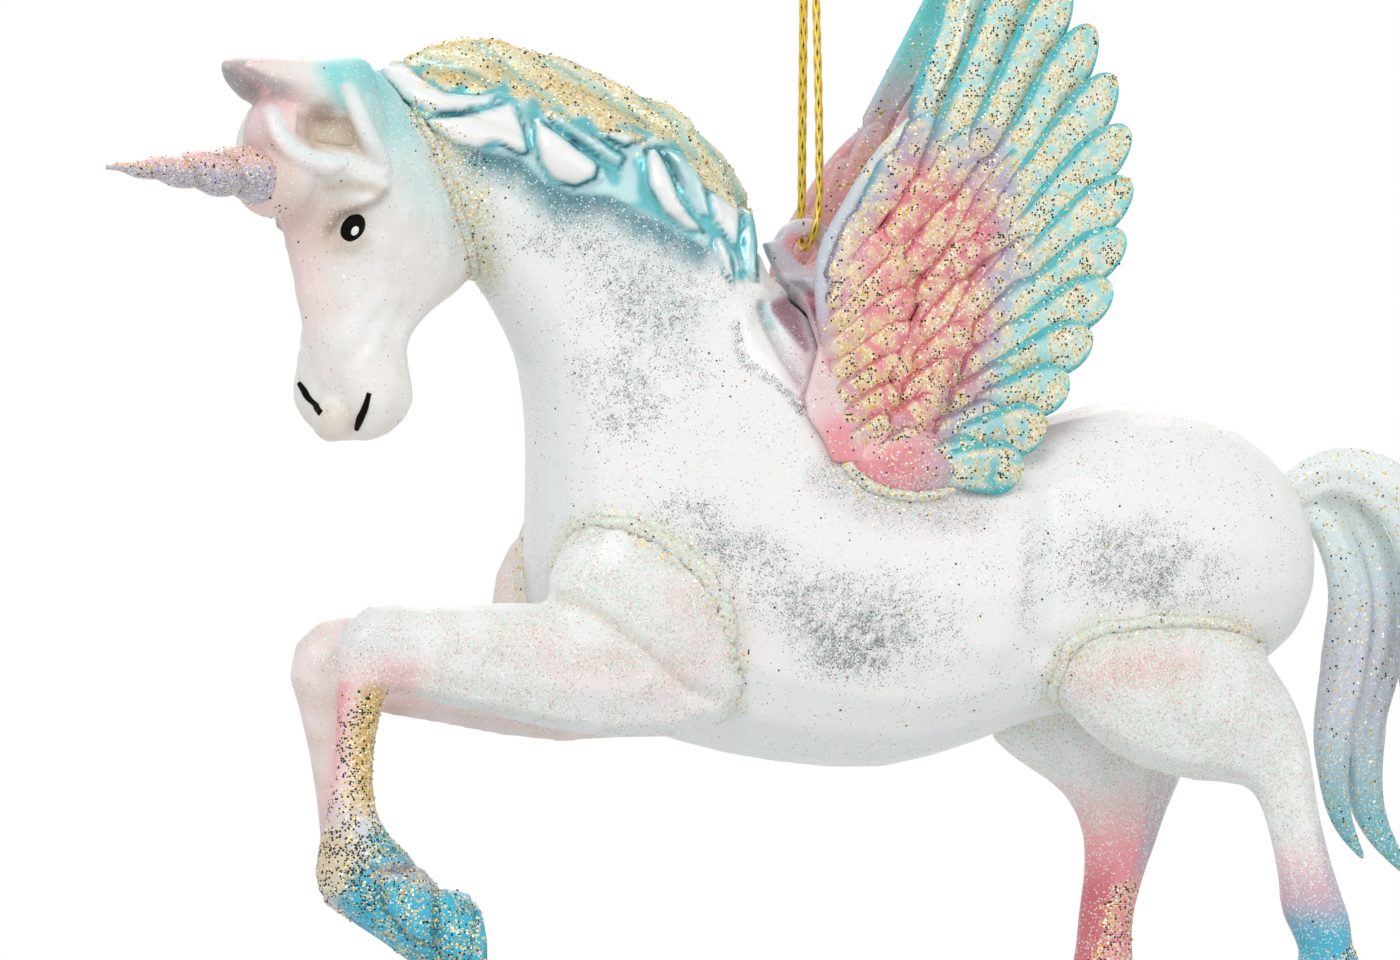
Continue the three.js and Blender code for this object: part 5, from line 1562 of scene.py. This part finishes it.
class ORNAMENT_OT_tail(bpy.types.Operator):
    """Make the tail from locks of hair"""

    bl_idname = "ornament.tail"
    bl_label = "Tail"

    def execute(self, context):
        bm = bmesh.new()
        for points, sway, half in TAIL_LOCKS:
            path = spline([at(x, sway * min(2, k), z) for k, (x, z) in enumerate(points)], TAIL_POINTS)
            sides = carried_sides(path, (0, 1, 0))
            for strand in range(TAIL_STRANDS):
                line = []
                radii = []
                for k, (point, (a, b)) in enumerate(zip(path, sides)):
                    share = k / (TAIL_POINTS - 1)
                    wide = half * (0.55 + 0.45 * math.sin(math.pi * min(0.75, share)) - 0.8 * share**5)
                    turn = 2 * math.pi * (strand / TAIL_STRANDS + 0.35 * share)
                    line.append(point + MM * wide * (0.28 * math.cos(turn) * a + 0.5 * math.sin(turn) * b))
                    radii.append(MM * wide * 0.46)
                tube(bm, line, radii, 12, (0, 1, 0))
        bm = fuse(bm, sizes().fine_grain, 2)
        piece = make_piece(bm, "painted_tail", painted("tail paint", 0.42, 0.2), ["tail"])
        paint = Paint(piece, "mist")
        heights = paint.points[:, 2] / MM + DROP
        paint.coat("lilac", 0.6 * ease(-heights, 30, 50))
        paint.coat("teal", 0.8 * ease(-heights, 52, 74))
        paint.coat("pearl", 0.6 * ease(heights, -40, -28))
        paint.sprinkles(1, frost=0.3, gold=0.15, fleck=0.15)
        paint.store()
        return {"FINISHED"}


class ORNAMENT_OT_glue(bpy.types.Operator):
    """Lay beads of glitter glue along the seams"""

    bl_idname = "ornament.glue"
    bl_label = "Glitter glue"

    def execute(self, context):
        coat = painted("glitter glue", 0.4, 0.3)
        for name in BEADS:
            leg = "leg" in name
            bm = fuse(copy_of(name), sizes().glue_grain, 6)
            push(bm, np.full(len(bm.verts), 0.5))
            piece = make_piece(bm, f"glitter_{name}", coat, [name])
            paint = Paint(piece, "pearl")
            paint.coat("beige", 0.35 if leg else 0.5)
            paint.coat("leaf", 0.2)
            paint.sprinkle("gold", 0.25 if leg else 0.45)
            paint.coat("mist", 0.4 * ease(ragged(paint.points, 3.0), -0.1, 0.4))
            paint.coat("petal", 0.45 * ease(ragged(paint.points, 4.0), 0.0, 0.4))
            paint.sprinkles(1, frost=0.65, fleck=0.08)
            paint.store()
        return {"FINISHED"}


FLAKE_COUNTS = {
    "frosted_body": 900, "feathered_wing_left": 1300, "feathered_wing_right": 900, "painted_head": 120,
    "wound_horn": 120, "glitter_neck_bead": 160, "glitter_wing_left_bead": 120,
    "glitter_wing_right_bead": 120, "painted_foreleg_left": 300, "painted_foreleg_right": 300,
    "painted_hindleg_left": 300, "painted_hindleg_right": 300,
}
# The ink flakes are painted reflection of dark surroundings.
FLAKE_TONES = ("gold", "champagne", "champagne", "mist", "pearl", "ink")
FLAKE_SIDES = 6
FLAKE_DEPTH = 0.06 * MM
FLAKE_LEAN = 0.55
FLAKE_BATCH = 200


class ORNAMENT_OT_glitter(bpy.types.Operator):
    """Scatter loose flakes of glitter where they are thickest"""

    bl_idname = "ornament.glitter"
    bl_label = "Glitter flakes"

    def execute(self, context):
        coat = painted("flakes", 0.25, 0.0)
        for order, (name, count) in enumerate(FLAKE_COUNTS.items()):
            self.flakes(bpy.data.objects[name].data, count, f"flakes_on_{name}", order, coat)
        return {"FINISHED"}

    def flakes(self, mesh, count, name, order, material):
        """Six-sided flakes on a mesh, more of them where its share of gold is higher."""
        chance = np.zeros(len(mesh.vertices))
        mesh.attributes["gold"].data.foreach_get("value", chance)
        chance = chance**1.5 + 1e-4
        numbers = np.random.default_rng(sizes().seed + order)
        picks = numbers.choice(len(chance), count, replace=False, p=chance / chance.sum())
        shaker = random.Random(sizes().seed + order)
        bm = bmesh.new()
        tones = []
        batch = bmesh.new()
        for k, pick in enumerate(picks):
            vert = mesh.vertices[int(pick)]
            out = Vector(vert.normal) + Vector([shaker.uniform(-FLAKE_LEAN, FLAKE_LEAN) for _ in range(3)])
            turn = out.to_track_quat("Z", "Y").to_matrix().to_4x4()
            place = Matrix.Translation(vert.co + FLAKE_DEPTH * Vector(vert.normal)) @ turn
            radius = sizes().flake_radius * shaker.uniform(0.65, 1.15)
            bmesh.ops.create_cone(
                batch,
                cap_ends=True,
                segments=FLAKE_SIDES,
                radius1=radius,
                radius2=radius,
                depth=FLAKE_DEPTH,
                matrix=place,
            )
            tones.append(colour(shaker.choice(FLAKE_TONES)))
            if (k + 1) % FLAKE_BATCH == 0 or k == len(picks) - 1:
                part = bpy.data.meshes.new("batch")
                batch.to_mesh(part)
                bm.from_mesh(part)
                bpy.data.meshes.remove(part)
                batch.free()
                batch = bmesh.new()
        batch.free()
        piece = make_piece(bm, name, material)
        piece.data.polygons.foreach_set("use_smooth", [False] * len(piece.data.polygons))
        paint = Paint(piece, "champagne")
        paint.colours = np.repeat(np.array(tones), 2 * FLAKE_SIDES, axis=0)
        paint.store()


FLOOR_RADIUS = 1.2
FLOOR_HEIGHT = -0.26
FLOOR_GREY = np.array((0.82, 0.82, 0.82))
# Name, place, size and power
LAMPS = (
    ("key", (-0.6, -0.9, 0.75), 0.7, 7.0),
    ("fill", (0.9, -1.0, 0.1), 1.0, 2.0),
    ("back", (0.3, 1.0, 0.7), 0.9, 3.0),
)
LAMP_AIM = Vector((0, 0, -0.08))
SKY_LEVEL = 0.58
SKY_RISE = 0.14


class ORNAMENT_OT_stage(bpy.types.Operator):
    """Set up the floor, the lights and the white background"""

    bl_idname = "ornament.stage"
    bl_label = "Stage"

    def execute(self, context):
        bm = bmesh.new()
        place = Matrix.Translation((0, 0, FLOOR_HEIGHT))
        bmesh.ops.create_circle(bm, cap_ends=True, segments=96, radius=FLOOR_RADIUS, matrix=place)
        mesh = bpy.data.meshes.new("floor")
        bm.to_mesh(mesh)
        bm.free()
        mesh.materials.append(plain("floor", FLOOR_GREY, 0.7))
        floor = bpy.data.objects.new("floor", mesh)
        context.scene.collection.objects.link(floor)
        lights = [self.lamp(context, *lamp) for lamp in LAMPS]
        self.world(context)
        context.scene.view_settings.view_transform = "Standard"
        return {"FINISHED"}

    def lamp(self, context, name, place, size, power):
        """A square soft light aimed at the middle of the ornament."""
        data = bpy.data.lights.new(name, "AREA")
        data.size = size
        data.energy = power
        lamp = bpy.data.objects.new(name, data)
        context.scene.collection.objects.link(lamp)
        lamp.location = place
        aim = LAMP_AIM - Vector(place)
        lamp.rotation_euler = aim.to_track_quat("-Z", "Y").to_euler()
        return lamp

    def world(self, context):
        """White behind the ornament, and a soft sky over a darker ground for its light."""
        world = bpy.data.worlds.new("studio")
        world.use_nodes = True
        world.node_tree.nodes.clear()
        place = world.node_tree.nodes.new("ShaderNodeTexCoord")
        up = Wire(world.node_tree, place.outputs["Generated"])
        height = up.node("ShaderNodeSeparateXYZ", {}, {"Vector": up}, "Z")
        level = SKY_LEVEL + SKY_RISE * height
        sky = level.node("ShaderNodeBackground", {}, {"Color": WHITE, "Strength": level})
        white = level.node("ShaderNodeBackground", {}, {"Color": WHITE, "Strength": 1.0})
        camera = level.node("ShaderNodeLightPath", {}, {}, "Is Camera Ray")
        seen = camera + camera.beside("Is Glossy Ray") + camera.beside("Is Transmission Ray")
        mixed = seen.node("ShaderNodeMixShader", {}, {0: seen, 1: sky, 2: white})
        mixed.node("ShaderNodeOutputWorld", {}, {"Surface": mixed})
        context.scene.world = world


# Panel and registration

STEPS = (
    ORNAMENT_OT_camera,
    ORNAMENT_OT_cord,
    ORNAMENT_OT_body,
    ORNAMENT_OT_head,
    ORNAMENT_OT_horn,
    ORNAMENT_OT_saddle,
    ORNAMENT_OT_wings,
    ORNAMENT_OT_legs,
    ORNAMENT_OT_tail,
    ORNAMENT_OT_glue,
    ORNAMENT_OT_glitter,
    ORNAMENT_OT_stage,
)


class ORNAMENT_PT_panel(bpy.types.Panel):
    """Settings of the ornament and a button for each step"""

    bl_idname = "ORNAMENT_PT_panel"
    bl_label = "Ornament"
    bl_space_type = "VIEW_3D"
    bl_region_type = "UI"
    bl_category = "Ornament"

    def draw(self, context):
        column = self.layout.column()
        for group in (context.scene.ornament_sizes, context.scene.ornament_colours):
            for name in group.__annotations__:
                column.prop(group, name)
        for step in STEPS:
            column.operator(step.bl_idname)


CLASSES = (OrnamentSizes, OrnamentColours, *STEPS, ORNAMENT_PT_panel)


def register():
    for cls in CLASSES:
        bpy.utils.register_class(cls)
    bpy.types.Scene.ornament_sizes = PointerProperty(type=OrnamentSizes)
    bpy.types.Scene.ornament_colours = PointerProperty(type=OrnamentColours)


def unregister():
    del bpy.types.Scene.ornament_colours
    del bpy.types.Scene.ornament_sizes
    for cls in reversed(CLASSES):
        bpy.utils.unregister_class(cls)


def main():
    register()
    for step in STEPS:
        space, name = step.bl_idname.split(".")
        getattr(getattr(bpy.ops, space), name)()


if __name__ == "__main__":
    main()
